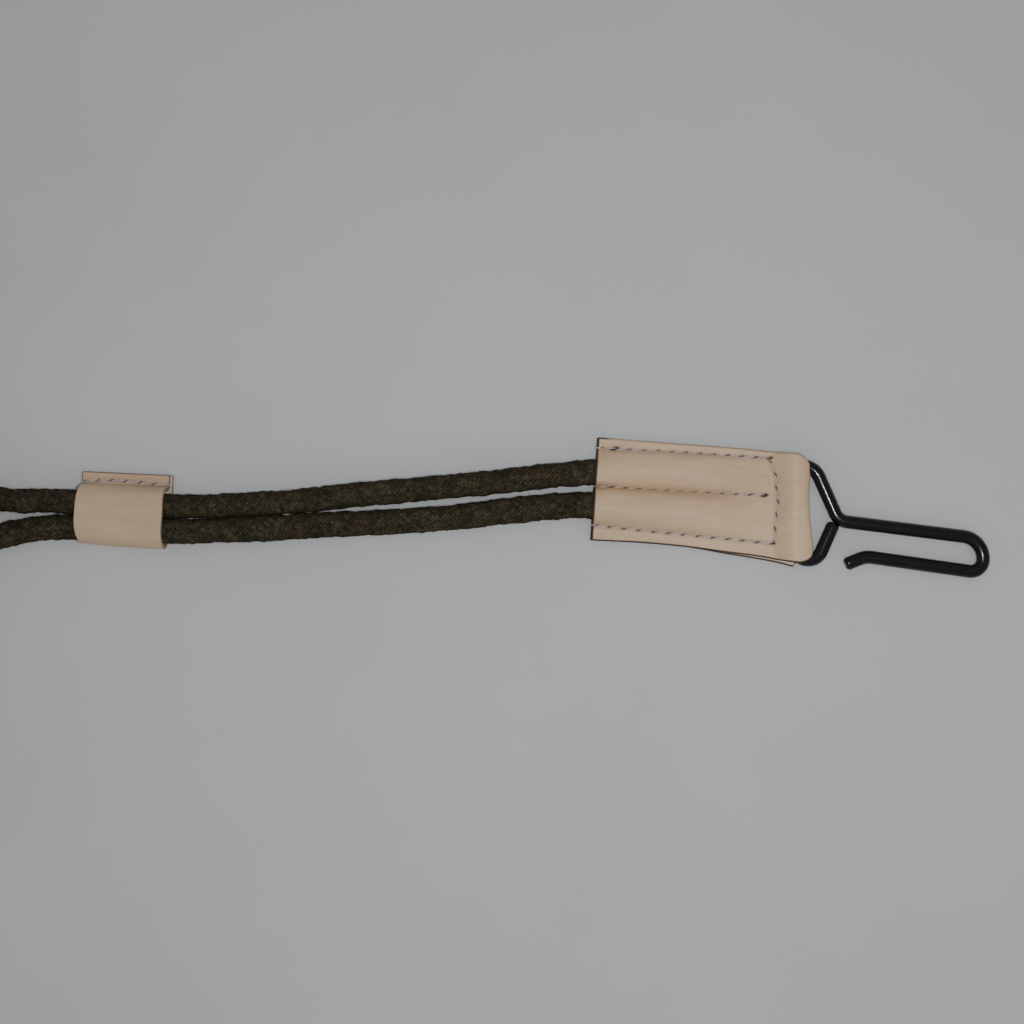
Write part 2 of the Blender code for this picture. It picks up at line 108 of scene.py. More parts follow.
# Hank: three layers of runs, pinched at the waist, and the loops that join them
HANK_RUN_MM = 84.0
HANK_Y_MM = -22.0
HANK_RIGHT_MM = -216.0
LOOP_R_MM = 19.0
OUTER_LOOP_R_MM = 25.4
WAIST_MM = 3.4
WAIST_LONG_MM = 13.0
LAYERS_MM = (3.1, 9.0, 14.9)
WAIST_LAYERS_MM = (3.8, 9.2, 14.6)
HANK_MIDDLE_MM = HANK_RIGHT_MM - HANK_RUN_MM / 2

# Braid
RING_STEP_MM = 0.36
CORD_SIDES = 60
YARNS = 18
BRAID_PITCH_MM = 20.0
YARN_HIGH_MM = 0.46

# Cord section: flatter and wider in the tab's pockets and under the tie, and fuller in the long free stretch
POCKET_MOUTH_MM = -31.5
POCKET_LEAD_MM = 9.0
POCKET_WIDER_MM = 0.3
POCKET_LOWER_MM = 1.25
HELD_LONG_MM = 11.0
HELD_WIDER_MM = 0.1
HELD_LOWER_MM = 0.38
FREE_LEAD_MM = 20.0
FREE_WIDER_MM = 0.05
LOWER_STRAND_WIDER_MM = 0.12
NEAR_TAB_WIDER_MM = 0.15
NEAR_TAB_FROM_MM = -62.0
NEAR_TAB_LEAD_MM = 30.0

# Loose fibres on the cord
FIBRES = 13000
FIBRE_FREE_RINGS = 90
FIBRE_ROOT_MM = 0.15
FIBRE_R_MM = (0.05, 0.018)
FIBRE_RINGS = 4
FIBRE_SIDES = 3

# Tie: one turn of tape round the hank's waist, seen from the hank's end, with its end lapped on top
TIE_THICK_MM = 0.8
TIE_HALF_WIDE_MM = 5.0
TIE_HALF_Y_MM = 7.1
TIE_LOW_MM = 0.4
TIE_HIGH_MM = 18.0
TIE_CORNER_MM = 2.6
TIE_START_MM = 3.0
TIE_LAP_MM = 3.6
TIE_LAP_UP_MM = 0.95
TIE_STEP_MM = 0.3

# Tab: its long edges (x, y), and its seams
TAB_LEFT_MM = -28.8
TAB_END_SLOPE = 0.022
TAB_HIGH_MM = ((-29.0, 13.7), (-10.0, 13.85), (6.0, 14.0), (17.5, 13.9), (24.0, 13.6), (30.0, 13.3))
TAB_LOW_MM = (
    (-29.0, -13.7), (-15.5, -13.2), (-3.7, -13.25), (5.5, -13.7),
    (15.1, -14.1), (21.0, -14.7), (30.0, -15.3),
)
BACK_HIGH_MM = ((-29.0, 13.6), (6.0, 13.7), (24.0, 13.3))
BACK_LOW_MM = (
    (-29.0, -13.6), (-15.5, -13.1), (-3.7, -13.2), (5.5, -14.0),
    (11.0, -14.4), (15.5, -14.8), (19.5, -15.2), (24.3, -16.1),
)
BAR_X_MM = 24.1
TOP_SEAM_MM = ((-28.0, 10.9), (16.5, 12.1))
MIDDLE_SEAM_MM = ((-28.0, 0.7), (15.9, 2.2))
BOTTOM_SEAM_MM = ((-27.8, -9.6), (18.9, -10.3))
CROSS_SEAM_MM = (
    (16.6, 11.2), (18.6, 7.4), (18.9, 3.4), (19.8, -0.2), (19.2, -4.2), (19.5, -8.0), (19.5, -10.0),
)
CROSS_PITCH = 0.95
BACK_LONGER_MM = 0.35
RAMP_START_MM = -6.5
FOLD_START = radians(110)
FOLD_LOOSE_MM = ((-10.5, 1.5), (1.7, 0.45), (10.4, 0.9))
FOLD_HALF_MM = (9.6, -11.0)
TAB_HALF_MM = 13.7
HUMP_END_MM = 18.0
SEAM_CLEAR_MM = 0.35
HOLE_DEEP_MM = 0.5
TOP_GROOVE_MM = 0.17
UNDER_GROOVE_MM = 0.5
RIM_HIGH_MM = 0.06
PUCKER_MM = 0.03
CREASE_DEEP_MM = 0.12
CREASES_FROM_MM = 18.0

# Stitches: the slits, and two plies of thread that rise out of one slit and go down the next
PITCH_MM = 3.75
SLIT_TURN = radians(13)
SLIT_LONG_MM = 0.85
SLIT_WIDE_MM = 0.27
THREAD_LAY_MM = 1.1
PLY_R_MM = 0.125
PLY_OFF_MM = 0.1
PLY_SIDES = 7
STITCH_FROM_HOLE_MM = 0.1
STITCH_LIFT_MM = 0.7
STITCH_DEEP_MM = 0.8
STITCH_RISE_MM = 0.9
STITCH_BOW_MM = 0.04
STITCH_SLANT_MM = 0.2
BOBBIN_LEVEL_MM = 0.3

# Wire hook, in its own plane: u away from the tab, v along the base bar
HOOK_PATH_MM = (
    (9.98, -2.72, 0.0),
    (5.66, -12.4, 3.6),
    (0.0, -12.3, 3.0),
    (0.0, 12.4, 2.2),
    (5.1, 12.1, 4.5),
    (11.2, -2.1, 3.9),
)
SHANK_ANGLE = radians(-7.06)
HOOK_REACH_MM = 50.9
HOOK_BEND_MM = 4.45
BEND_UNEVEN_MM = 1.3
TIP_BEND_MM = (18.2, -11.45)
TIP_END_MM = (12.8, -13.6)
TIP_RADIUS_MM = 6.0
HOOK_STEP_MM = 0.3
CUT_ROUND_MM = 0.6
CUT_ROUND_LONG_MM = 0.9

# Keeper
KEEPER_AT_MM = (-153.8, -18.2)
KEEPER_TURN = radians(2.3)
KEEPER_LONG_MM = 23.8
KEEPER_HALF_MM = 7.3
KEEPER_FLANGE_MM = 11.5
KEEPER_SEAM_MM = 9.3
KEEPER_HOLES_X_MM = (-11.6, -8.0, -4.3, -0.4, 3.6, 7.4, 11.0)
KEEPER_HOLES_OFF_MM = (-0.5, -0.1, 0.15, 0.05, -0.1, -0.35, -0.5)
KEEPER_LOOSE_MM = 0.2
KEEPER_DROP_MM = 0.25

FLAT_MID_MM = 1.5 * LEATHER_MM + GAP_MM
TAB_TOP_MM = 2 * LEATHER_MM + GAP_MM
BAR_Z_MM = LEATHER_MM + GAP_MM + WIRE_R_MM
FOLD_R_MM = WIRE_R_MM + GAP_MM + LEATHER_MM / 2
TOUCH_MM = 0.02


# ---------------------------------------------------------------- small tools


def smooth(t):
    """An S from 0 to 1 while t goes from 0 to 1."""
    t = np.clip(t, 0.0, 1.0)
    return t * t * (3 - 2 * t)


def unit(v):
    """Vectors made one long."""
    return v / np.linalg.norm(v, axis=-1, keepdims=True)


def value_noise(x, y, cell, seed):
    """Smooth noise from -1 to 1 on a lattice of that cell size."""
    lattice = np.random.default_rng(seed).random((61, 61)) * 2 - 1
    u, v = np.asarray(x) / cell, np.asarray(y) / cell
    i, j = np.floor(u).astype(int), np.floor(v).astype(int)
    a, b = smooth(u - i), smooth(v - j)
    corners = [lattice[(i + di) % 61, (j + dj) % 61] for di, dj in ((0, 0), (1, 0), (0, 1), (1, 1))]
    low = corners[0] * (1 - a) + corners[1] * a
    high = corners[2] * (1 - a) + corners[3] * a
    return low * (1 - b) + high * b


def around(along, turn, cell, seed):
    """Smooth noise on a tube, which meets itself after a whole turn."""
    x, y = CORD_R_MM * np.cos(2 * pi * turn) + 9.0, CORD_R_MM * np.sin(2 * pi * turn) + 9.0
    return 0.75 * (value_noise(along, x, cell, seed) + value_noise(along + 31.0, y, cell, seed + 50))


def spline(points, step):
    """Points every step along the Catmull-Rom curve through points."""
    p = np.array(points, float)
    p = np.vstack([2 * p[0] - p[1], p, 2 * p[-1] - p[-2]])
    t = np.linspace(0, 1, 24, endpoint=False)[:, None]
    fine = []
    for a, b, c, d in zip(p, p[1:], p[2:], p[3:]):
        curve = 2 * b + (c - a) * t + (2 * a - 5 * b + 4 * c - d) * t**2 + (3 * b - a - 3 * c + d) * t**3
        fine.append(0.5 * curve)
    fine = np.vstack([*fine, p[-2:-1]])
    return resample(fine, step)


def resample(line, step):
    """Points every step, or as near as fits, along a broken line."""
    along = np.concatenate([[0], np.cumsum(np.linalg.norm(np.diff(line, axis=0), axis=1))])
    want = np.linspace(0, along[-1], max(2, round(along[-1] / step)) + 1)
    return np.stack([np.interp(want, along, line[:, k]) for k in range(3)], axis=1)


def rounded(path, turn_step=radians(4)):
    """The corners of a flat path (x, y, radius) made into arcs."""
    corners = [(Vector(p[:2]), p[2]) for p in path]
    made = [corners[0][0]]
    for (a, _), (b, radius), (c, _) in zip(corners, corners[1:], corners[2:]):
        back, on = (a - b).normalized(), (c - b).normalized()
        half = acos(max(-1.0, min(1.0, back.dot(on)))) / 2
        middle = b + (back + on).normalized() * (radius / sin(half))
        start = b + back * (radius / tan(half)) - middle
        turn = pi - 2 * half
        side = 1 if back.x * on.y - back.y * on.x < 0 else -1
        steps = max(2, round(turn / turn_step))
        for k in range(steps + 1):
            made.append(middle + Matrix.Rotation(side * turn * k / steps, 2) @ start)
    made.append(corners[-1][0])
    return made


def frames(line, up=None):
    """Tangent, side and up vectors along a line, turned no more than the line itself."""
    tangent = unit(np.gradient(line, axis=0))
    if up is not None:
        side = unit(np.cross(np.array(up, float), tangent))
        return tangent, side, np.cross(tangent, side)
    first = np.array([0.0, 0.0, 1.0]) if abs(tangent[0][2]) < 0.9 else np.array([0.0, 1.0, 0.0])
    side = [unit(np.cross(first, tangent[0]))]
    for t in tangent[1:]:
        side.append(unit(side[-1] - t * (side[-1] @ t)))
    side = np.array(side)
    return tangent, side, np.cross(tangent, side)


def sweep(line, wide, high, sides, up=None, relief=0.0):
    """A closed tube of elliptic section along a line, as points and faces."""
    _, side, top = frames(line, up)
    count = len(line)
    turn = np.arange(sides) * 2 * pi / sides
    wide = np.broadcast_to(np.asarray(wide, float), count)[:, None] + relief
    high = np.broadcast_to(np.asarray(high, float), count)[:, None] + relief
    across, over = wide * np.cos(turn), high * np.sin(turn)
    verts = line[:, None, :] + across[..., None] * side[:, None, :] + over[..., None] * top[:, None, :]
    verts = np.vstack([verts.reshape(-1, 3), line[:1], line[-1:]])
    i = np.arange(count - 1)[:, None] * sides
    j = np.arange(sides)[None, :]
    k = (j + 1) % sides
    quads = np.stack([i + j, i + k, i + sides + k, i + sides + j], axis=-1).reshape(-1, 4)
    first, last = count * sides, count * sides + 1
    j, k = j[0], k[0]
    caps = [(first, b, a) for a, b in zip(j, k)]
    caps += [(last, a + (count - 1) * sides, b + (count - 1) * sides) for a, b in zip(j, k)]
    return verts, quads.tolist() + [tuple(int(x) for x in f) for f in caps]


def merge(parts):
    """Several (points, faces) as one."""
    verts, faces, start = [], [], 0
    for v, f in parts:
        verts.append(v)
        faces += [[x + start for x in face] for face in f]
        start += len(v)
    return np.vstack(verts), faces


def piece(name, verts_mm, faces, finish, sharp=None, marks=None):
    """A mesh object in the lanyard's frame. Marks are named values for each point, which its finish reads."""
    mesh = bpy.data.meshes.new(name)
    mesh.from_pydata((np.asarray(verts_mm) * MM).tolist(), [], faces)
    mesh.validate()
    mesh.shade_smooth()
    if sharp:
        mesh.set_sharp_from_angle(angle=sharp)
    for key, values in (marks or {}).items():
        mesh.attributes.new(key, "FLOAT", "POINT").data.foreach_set("value", values.astype(np.float32))
    mesh.materials.append(finish)
    obj = bpy.data.objects.new(name, mesh)
    bpy.context.scene.collection.objects.link(obj)
    return obj


# ---------------------------------------------------------------- finishes


class Finish:
    """A Principled material with short calls for its nodes."""

    def __init__(self, name, colour, roughness, **values):
        self.material = bpy.data.materials.new(name)
        self.material.use_nodes = True
        self.nodes, self.links = self.material.node_tree.nodes, self.material.node_tree.links
        self.shader = self.nodes["Principled BSDF"]
        self.shader.inputs["Base Color"].default_value = (*colour, 1.0)
        self.shader.inputs["Roughness"].default_value = roughness
        for key, value in values.items():
            self.shader.inputs[key.replace("_", " ")].default_value = value
        self.place = self.nodes.new("ShaderNodeTexCoord").outputs["Object"]

    def link(self, out, socket):
        self.links.new(out, socket)

    def stretched(self, scale):
        node = self.nodes.new("ShaderNodeMapping")
        node.inputs["Scale"].default_value = scale
        self.link(self.place, node.inputs["Vector"])
        return node.outputs["Vector"]

    def noise(self, scale, detail=2.0, rough=0.5, stretch=None):
        node = self.nodes.new("ShaderNodeTexNoise")
        node.inputs["Scale"].default_value = scale
        node.inputs["Detail"].default_value = detail
        node.inputs["Roughness"].default_value = rough
        self.link(self.stretched(stretch) if stretch else self.place, node.inputs["Vector"])
        return node.outputs["Fac"]

    def cells(self, scale):
        node = self.nodes.new("ShaderNodeTexVoronoi")
        node.inputs["Scale"].default_value = scale
        self.link(self.place, node.inputs["Vector"])
        return node.outputs["Distance"]

    def mark(self, name):
        node = self.nodes.new("ShaderNodeAttribute")
        node.attribute_name = name
        return node.outputs["Fac"]

    def ramp(self, value, stops):
        node = self.nodes.new("ShaderNodeValToRGB")
        while len(node.color_ramp.elements) < len(stops):
            node.color_ramp.elements.new(0.5)
        for element, (place, colour) in zip(node.color_ramp.elements, stops):
            element.position = place
            element.color = (*colour, 1.0) if hasattr(colour, "__len__") else (colour, colour, colour, 1.0)
        self.link(value, node.inputs["Fac"])
        return node.outputs["Color"]

    def math(self, kind, a, b):
        node = self.nodes.new("ShaderNodeMath")
        node.operation = kind
        for socket, value in zip(node.inputs, (a, b)):
            if isinstance(value, (int, float)):
                socket.default_value = value
            else:
                self.link(value, socket)
        return node.outputs["Value"]

    def mix(self, share, a, b, kind="MIX"):
        node = self.nodes.new("ShaderNodeMix")
        node.data_type = "RGBA"
        node.blend_type = kind
        for socket, value in ((node.inputs[0], share), (node.inputs[6], a), (node.inputs[7], b)):
            if isinstance(value, (int, float)):
                socket.default_value = value
            elif isinstance(value, tuple):
                socket.default_value = (*value, 1.0)
            else:
                self.link(value, socket)
        return node.outputs[2]

    def scaled(self, value, low, high):
        node = self.nodes.new("ShaderNodeMapRange")
        node.inputs["To Min"].default_value = low
        node.inputs["To Max"].default_value = high
        self.link(value, node.inputs["Value"])
        return node.outputs["Result"]

    def bump(self, height, strength, distance):
        node = self.nodes.new("ShaderNodeBump")
        node.inputs["Strength"].default_value = strength
        node.inputs["Distance"].default_value = distance
        self.link(height, node.inputs["Height"])
        if self.shader.inputs["Normal"].is_linked:
            before = self.shader.inputs["Normal"].links[0].from_socket
            self.link(before, node.inputs["Normal"])
        self.link(node.outputs["Normal"], self.shader.inputs["Normal"])


def leather_finish(name, light, dark):
    """Natural vegetable-tanned grain: patches, streaks along the strip, pores, stitch holes darkened with
    painted shade, greyer seams, and cut edges darkened partly by their own colour and partly by painted
    shadow.
    """
    f = Finish(name, light, 0.5, Specular_IOR_Level=0.3, Sheen_Weight=0.04, Sheen_Roughness=0.5)
    patches = f.ramp(f.noise(55.0, 3.0), [(0.3, dark), (0.7, light)])
    streaks = f.ramp(f.noise(1.0, 4.0, 0.6, (60.0, 900.0, 300.0)), [(0.3, 0.9), (0.65, 1.0)])
    grain = f.ramp(f.noise(2600.0, 4.0, 0.7), [(0.3, 0.93), (0.6, 1.0)])
    colour = f.mix(1.0, f.mix(1.0, patches, streaks, "MULTIPLY"), grain, "MULTIPLY")
    freckles = f.ramp(f.noise(420.0, 1.0), [(0.68, 0.0), (0.78, 1.0)])
    colour = f.mix(f.math("MULTIPLY", freckles, 0.16), colour, (0.46, 0.29, 0.18))
    colour = f.mix(f.math("MULTIPLY", f.mark("flesh"), 0.75), colour, (0.66, 0.53, 0.41))
    # Greyer round the slits and along the seam grooves.
    colour = f.mix(f.math("MULTIPLY", f.mark("greyed_round_seams"), 0.55), colour, (0.34, 0.30, 0.26))
    # Dark cut edges: partly the raw edge's own colour, partly painted shadow where the edge meets the table
    # or the layer below.
    colour = f.mix(f.mark("edge"), colour, (0.06, 0.036, 0.027))
    # Painted shade inside the stitch slits.
    colour = f.mix(f.mark("hole"), colour, (0.07, 0.042, 0.028))
    f.link(colour, f.shader.inputs["Base Color"])
    f.link(f.scaled(f.noise(110.0, 3.0), 0.3, 0.72), f.shader.inputs["Roughness"])
    f.bump(f.cells(1500.0), 0.22, 0.00012)
    f.bump(f.noise(700.0, 5.0, 0.65), 0.25, 0.00016)
    f.bump(f.noise(260.0, 3.0, 0.6), 0.35, 0.0005)
    f.bump(f.noise(1.0, 4.0, 0.6, (80.0, 1500.0, 400.0)), 0.16, 0.0001)
    return f.material


def cotton_finish():
    """Dark olive cotton braid: each yarn a little different, with painted shade between the yarns and painted
    light on the yarn tops.
    """
    f = Finish("olive_cotton_braid", (0.06, 0.053, 0.03), 0.95, Specular_IOR_Level=0.08)
    shades = [(0.0, (0.027, 0.023, 0.016)), (0.5, (0.054, 0.047, 0.029)), (1.0, (0.1, 0.089, 0.051))]
    # Each yarn's own tint, with painted light on the yarn tops.
    tint_and_top_light = f.ramp(f.mark("tint_and_top_light"), shades)
    patches = f.ramp(f.noise(120.0, 3.0), [(0.3, 0.8), (0.7, 1.15)])
    fibres = f.ramp(f.noise(3500.0, 3.0, 0.8), [(0.3, 0.6), (0.7, 1.3)])
    colour = f.mix(1.0, f.mix(1.0, tint_and_top_light, patches, "MULTIPLY"), fibres, "MULTIPLY")
    rust = f.ramp(f.noise(190.0, 2.0), [(0.52, 0.0), (0.7, 1.0)])
    colour = f.mix(f.math("MULTIPLY", rust, 0.35), colour, (0.085, 0.046, 0.03))
    # Painted shade in the crevices between the yarns.
    colour = f.mix(f.mark("painted_crevice_shade"), colour, (0.013, 0.0115, 0.008))
    f.link(colour, f.shader.inputs["Base Color"])
    f.bump(f.noise(4200.0, 3.0, 0.8), 0.5, 0.00012)
    return f.material


def fibre_finish():
    """The same cotton as single fibres."""
    f = Finish("cotton_fibres", (0.06, 0.053, 0.033), 0.95, Specular_IOR_Level=0.08)
    f.link(f.ramp(f.noise(300.0, 2.0), [(0.3, (0.03, 0.026, 0.017)), (0.7, (0.11, 0.095, 0.058))]),
           f.shader.inputs["Base Color"])
    return f.material


def thread_finish():
    """Pale waxed thread, a little soiled."""
    f = Finish("waxed_linen_thread", (0.52, 0.48, 0.46), 0.6, Specular_IOR_Level=0.3, Sheen_Weight=0.1)
    colour = f.ramp(f.noise(700.0, 3.0), [(0.3, (0.36, 0.32, 0.30)), (0.7, (0.62, 0.57, 0.55))])
    f.link(colour, f.shader.inputs["Base Color"])
    f.bump(f.noise(6000.0, 2.0), 0.4, 0.00005)
    return f.material


def lacquer_finish():
    """Black lacquer on wire: glossy, with a faint orange peel and a little dust."""
    gloss = {"Specular_IOR_Level": 0.4, "Coat_Weight": 0.15, "Coat_Roughness": 0.05}
    f = Finish("black_lacquer", (0.004, 0.004, 0.005), 0.2, **gloss)
    dust = f.ramp(f.noise(900.0, 4.0, 0.7), [(0.52, (0.003, 0.003, 0.004)), (0.8, (0.012, 0.012, 0.013))])
    f.link(dust, f.shader.inputs["Base Color"])
    f.link(f.scaled(f.noise(350.0, 3.0), 0.14, 0.3), f.shader.inputs["Roughness"])
    f.bump(f.noise(150.0, 1.0), 0.06, 0.00012)
    return f.material


def tape_finish():
    """Woven cotton tape, with painted shade between its ribs."""
    f = Finish("olive_tape", (0.075, 0.07, 0.04), 0.9, Specular_IOR_Level=0.15, Sheen_Weight=0.25)
    weave = f.ramp(f.noise(1800.0, 2.0, 0.6), [(0.3, (0.045, 0.042, 0.024)), (0.7, (0.105, 0.098, 0.055))])
    colour = f.mix(f.mark("painted_crevice_shade"), weave, (0.012, 0.011, 0.008))
    f.link(colour, f.shader.inputs["Base Color"])
    f.bump(f.noise(5200.0, 2.0, 0.7), 0.4, 0.0001)
    return f.material


# ---------------------------------------------------------------- camera, light, floor


def build_camera():
    """The photo's view: nearly straight down, a little beside the tab."""
    data = bpy.data.cameras.new("camera")
    data.sensor_width = 36.0
    data.lens = data.sensor_width / 2 / tan(CAMERA_VIEW / 2)
    data.clip_start, data.clip_end = 0.01, 10.0
    camera = bpy.data.objects.new("camera", data)
    bpy.context.scene.collection.objects.link(camera)
    at, to = Vector(CAMERA_AT_MM) * MM, Vector(CAMERA_LOOKS_AT_MM) * MM
    back = (at - to).normalized()
    right = Vector((cos(CAMERA_TURN), sin(CAMERA_TURN), 0.0))
    right = (right - back * right.dot(back)).normalized()
    up = back.cross(right)
    camera.matrix_world = Matrix.Translation(at) @ Matrix((right, up, back)).transposed().to_4x4()
    bpy.context.scene.camera = camera


def area_light(name, at, to, size, watts, mirrored):
    """A round light at one place, turned to another; one that is not mirrored leaves no highlight."""
    data = bpy.data.lights.new(name, "AREA")
    data.shape = "DISK"
    data.size = size
    data.energy = watts
    light = bpy.data.objects.new(name, data)
    light.location = at
    light.rotation_euler = (Vector(to) - Vector(at)).to_track_quat("-Z", "Y").to_euler()
    light.visible_glossy = mirrored
    bpy.context.scene.collection.objects.link(light)


def build_stage():
    """A pale paper floor under one lamp near the camera and soft fill."""
    mesh = bpy.data.meshes.new("floor")
    corners = [(-1, -1), (1, -1), (1, 1), (-1, 1)]
    mesh.from_pydata([(FLOOR_HALF * x, FLOOR_HALF * y, 0) for x, y in corners], [], [(0, 1, 2, 3)])
    floor = bpy.data.objects.new("floor", mesh)
    floor.location.z = -FLOOR_DROP
    f = Finish("pale_paper", (0.56, 0.57, 0.575), 0.8, Specular_IOR_Level=0.2)
    f.link(f.ramp(f.noise(14.0, 5.0, 0.6), [(0.3, (0.54, 0.552, 0.56)), (0.7, (0.585, 0.59, 0.595))]),
           f.shader.inputs["Base Color"])
    f.bump(f.noise(60.0, 6.0, 0.6), 0.12, 0.001)
    mesh.materials.append(f.material)
    bpy.context.scene.collection.objects.link(floor)
    for light in LIGHTS:
        area_light(*light)
    world = bpy.data.worlds.new("studio")
    world.use_nodes = True
    world.node_tree.nodes["Background"].inputs["Color"].default_value = AIR_COLOUR
    world.node_tree.nodes["Background"].inputs["Strength"].default_value = AIR_STRENGTH
    bpy.context.scene.world = world


# ---------------------------------------------------------------- cord


def run_points(layer, side, going):
    """One pass through the waist on that layer; side is +1 for the upper runs, and going its way along x."""
    x = np.linspace(-HANK_RUN_MM / 2, HANK_RUN_MM / 2, 25)[1:-1] * going
    pinch = np.cos(pi * x / HANK_RUN_MM) ** 2
    y = side * (LOOP_R_MM - (LOOP_R_MM - WAIST_MM) * pinch)
    held = np.exp(-((x / WAIST_LONG_MM) ** 2))
    z = LAYERS_MM[layer] * (1 - held) + WAIST_LAYERS_MM[layer] * held
    return np.stack([x, y, z], axis=1)


def loop_points(end, z_from, z_to, outer=False):
    """Half a turn round one end of the hank, -1 for the left; the outer loop goes round the others."""
    turn = np.radians(np.linspace(0, 180, 19))
    degrees = np.degrees(turn)
    radius = np.full(len(turn), LOOP_R_MM)
    if outer:
        out = smooth((degrees - 8) / 47) * smooth((175 - degrees) / 45)
        radius = LOOP_R_MM + (OUTER_LOOP_R_MM - LOOP_R_MM) * out
        share = smooth((degrees - 25) / 105)
    else:
        share = smooth((degrees - 40) / 100)
    x = end * (HANK_RUN_MM / 2 + radius * np.sin(turn))
    y = -end * radius * np.cos(turn)
    z = z_from + (z_to - z_from) * share
    return np.stack([x, y, z], axis=1)


def hank_points():
    """The cord's way through the hank, from the upper lead to the lower one."""
    low, mid, high = LAYERS_MM
    first = run_points(0, 1, -1)
    last = run_points(0, -1, 1)
    way = [
        first[2:], loop_points(-1, low, mid), run_points(1, -1, 1), loop_points(1, mid, mid),
        run_points(1, 1, -1), loop_points(-1, mid, high), run_points(2, -1, 1), loop_points(1, high, high),
        run_points(2, 1, -1), loop_points(-1, high, low, outer=True), last[:-2],
    ]
    return np.vstack(way) + np.array([HANK_MIDDLE_MM, HANK_Y_MM, 0.0])


def cord_line():
    """The whole cord's centre line, a ring every step, from the upper pocket to the lower one."""
    points = [*UPPER_POCKET_MM, *UPPER_ROUTE_MM, *UPPER_LEAD_MM, *hank_points()]
    points += [*LOWER_LEAD_MM[::-1], *LOWER_ROUTE_MM[::-1], *LOWER_POCKET_MM[::-1]]
    line = spline(points, RING_STEP_MM)
    kernel = np.hanning(27)
    kernel /= kernel.sum()
    padded = np.vstack([np.repeat(line[:1], 13, axis=0), line, np.repeat(line[-1:], 13, axis=0)])
    soft = np.stack([np.convolve(padded[:, k], kernel, "valid") for k in range(3)], axis=1)
    return resample(soft, RING_STEP_MM)


def braid(line):
    """Relief, painted crevice shade, and tint with painted light on the yarn tops, of a braid of two sets of
    yarns, at each point of the tube.
    """
    along = np.arange(len(line))[:, None] * RING_STEP_MM
    turn = np.arange(CORD_SIDES)[None, :] / CORD_SIDES
    wander = 0.3 * around(along, turn, 2.4, SEED)
    a = YARNS * (turn + along / BRAID_PITCH_MM) + wander
    b = YARNS * (turn - along / BRAID_PITCH_MM) - wander
    across_a, across_b = np.abs(np.sin(pi * a)), np.abs(np.sin(pi * b))
    top_a = np.sin(pi * a) * np.sin(pi * b) > 0
    height = np.where(top_a, across_a**0.6 * across_b**0.35, across_b**0.6 * across_a**0.35)
    yarn = np.where(top_a, np.floor(a), np.floor(b) + 1000)
    rng = np.random.default_rng(SEED)
    shade = rng.random(4096)[(yarn % YARNS + np.where(top_a, 0, 40)).astype(int)]
    cell = rng.random(65536)[((np.floor(a) * 131 + np.floor(b) * 17) % 65536).astype(int)]
    specks = 0.15 * around(along, turn, 1.1, SEED + 4)
    # Each yarn's own tint and random specks, plus painted light: lighter on the yarn tops, darker low down.
    tint_and_top_light = 0.22 + 0.2 * shade + 0.6 * (cell - 0.3) + 0.5 * (height - 0.6) + specks
    wave = 0.1 * around(along, turn, 9.0, SEED + 1) + 0.12 * around(along, turn, 3.1, SEED + 2)
    lumps = 0.16 * around(along, turn, 1.2, SEED + 3)
    relief = YARN_HIGH_MM * (height - 0.6) + 0.12 * (cell - 0.5) * height + wave + lumps
    # Painted shade in the crevices between the yarns.
    painted_crevice_shade = smooth((0.6 - height) / 0.4)
    return relief, painted_crevice_shade, np.clip(tint_and_top_light, 0, 1)


def cord_section(line):
    """Half width and half height along the cord: pressed flat in the tab and under the tie."""
    x = line[:, 0]
    pocket = smooth((x - POCKET_MOUTH_MM) / POCKET_LEAD_MM)
    held = np.where(x < HANK_RIGHT_MM, np.exp(-(((x - HANK_MIDDLE_MM) / HELD_LONG_MM) ** 2)), 0.0)
    lower = np.linspace(0.0, 1.0, len(line)) > 0.5
    free = smooth((x - HANK_RIGHT_MM) / FREE_LEAD_MM)
    near = smooth((x - NEAR_TAB_FROM_MM) / NEAR_TAB_LEAD_MM)
    fuller = (FREE_WIDER_MM + LOWER_STRAND_WIDER_MM * lower + NEAR_TAB_WIDER_MM * near) * free
    wide = CORD_R_MM + fuller + POCKET_WIDER_MM * pocket + HELD_WIDER_MM * held
    high = CORD_R_MM - POCKET_LOWER_MM * pocket - HELD_LOWER_MM * held
    return wide, high


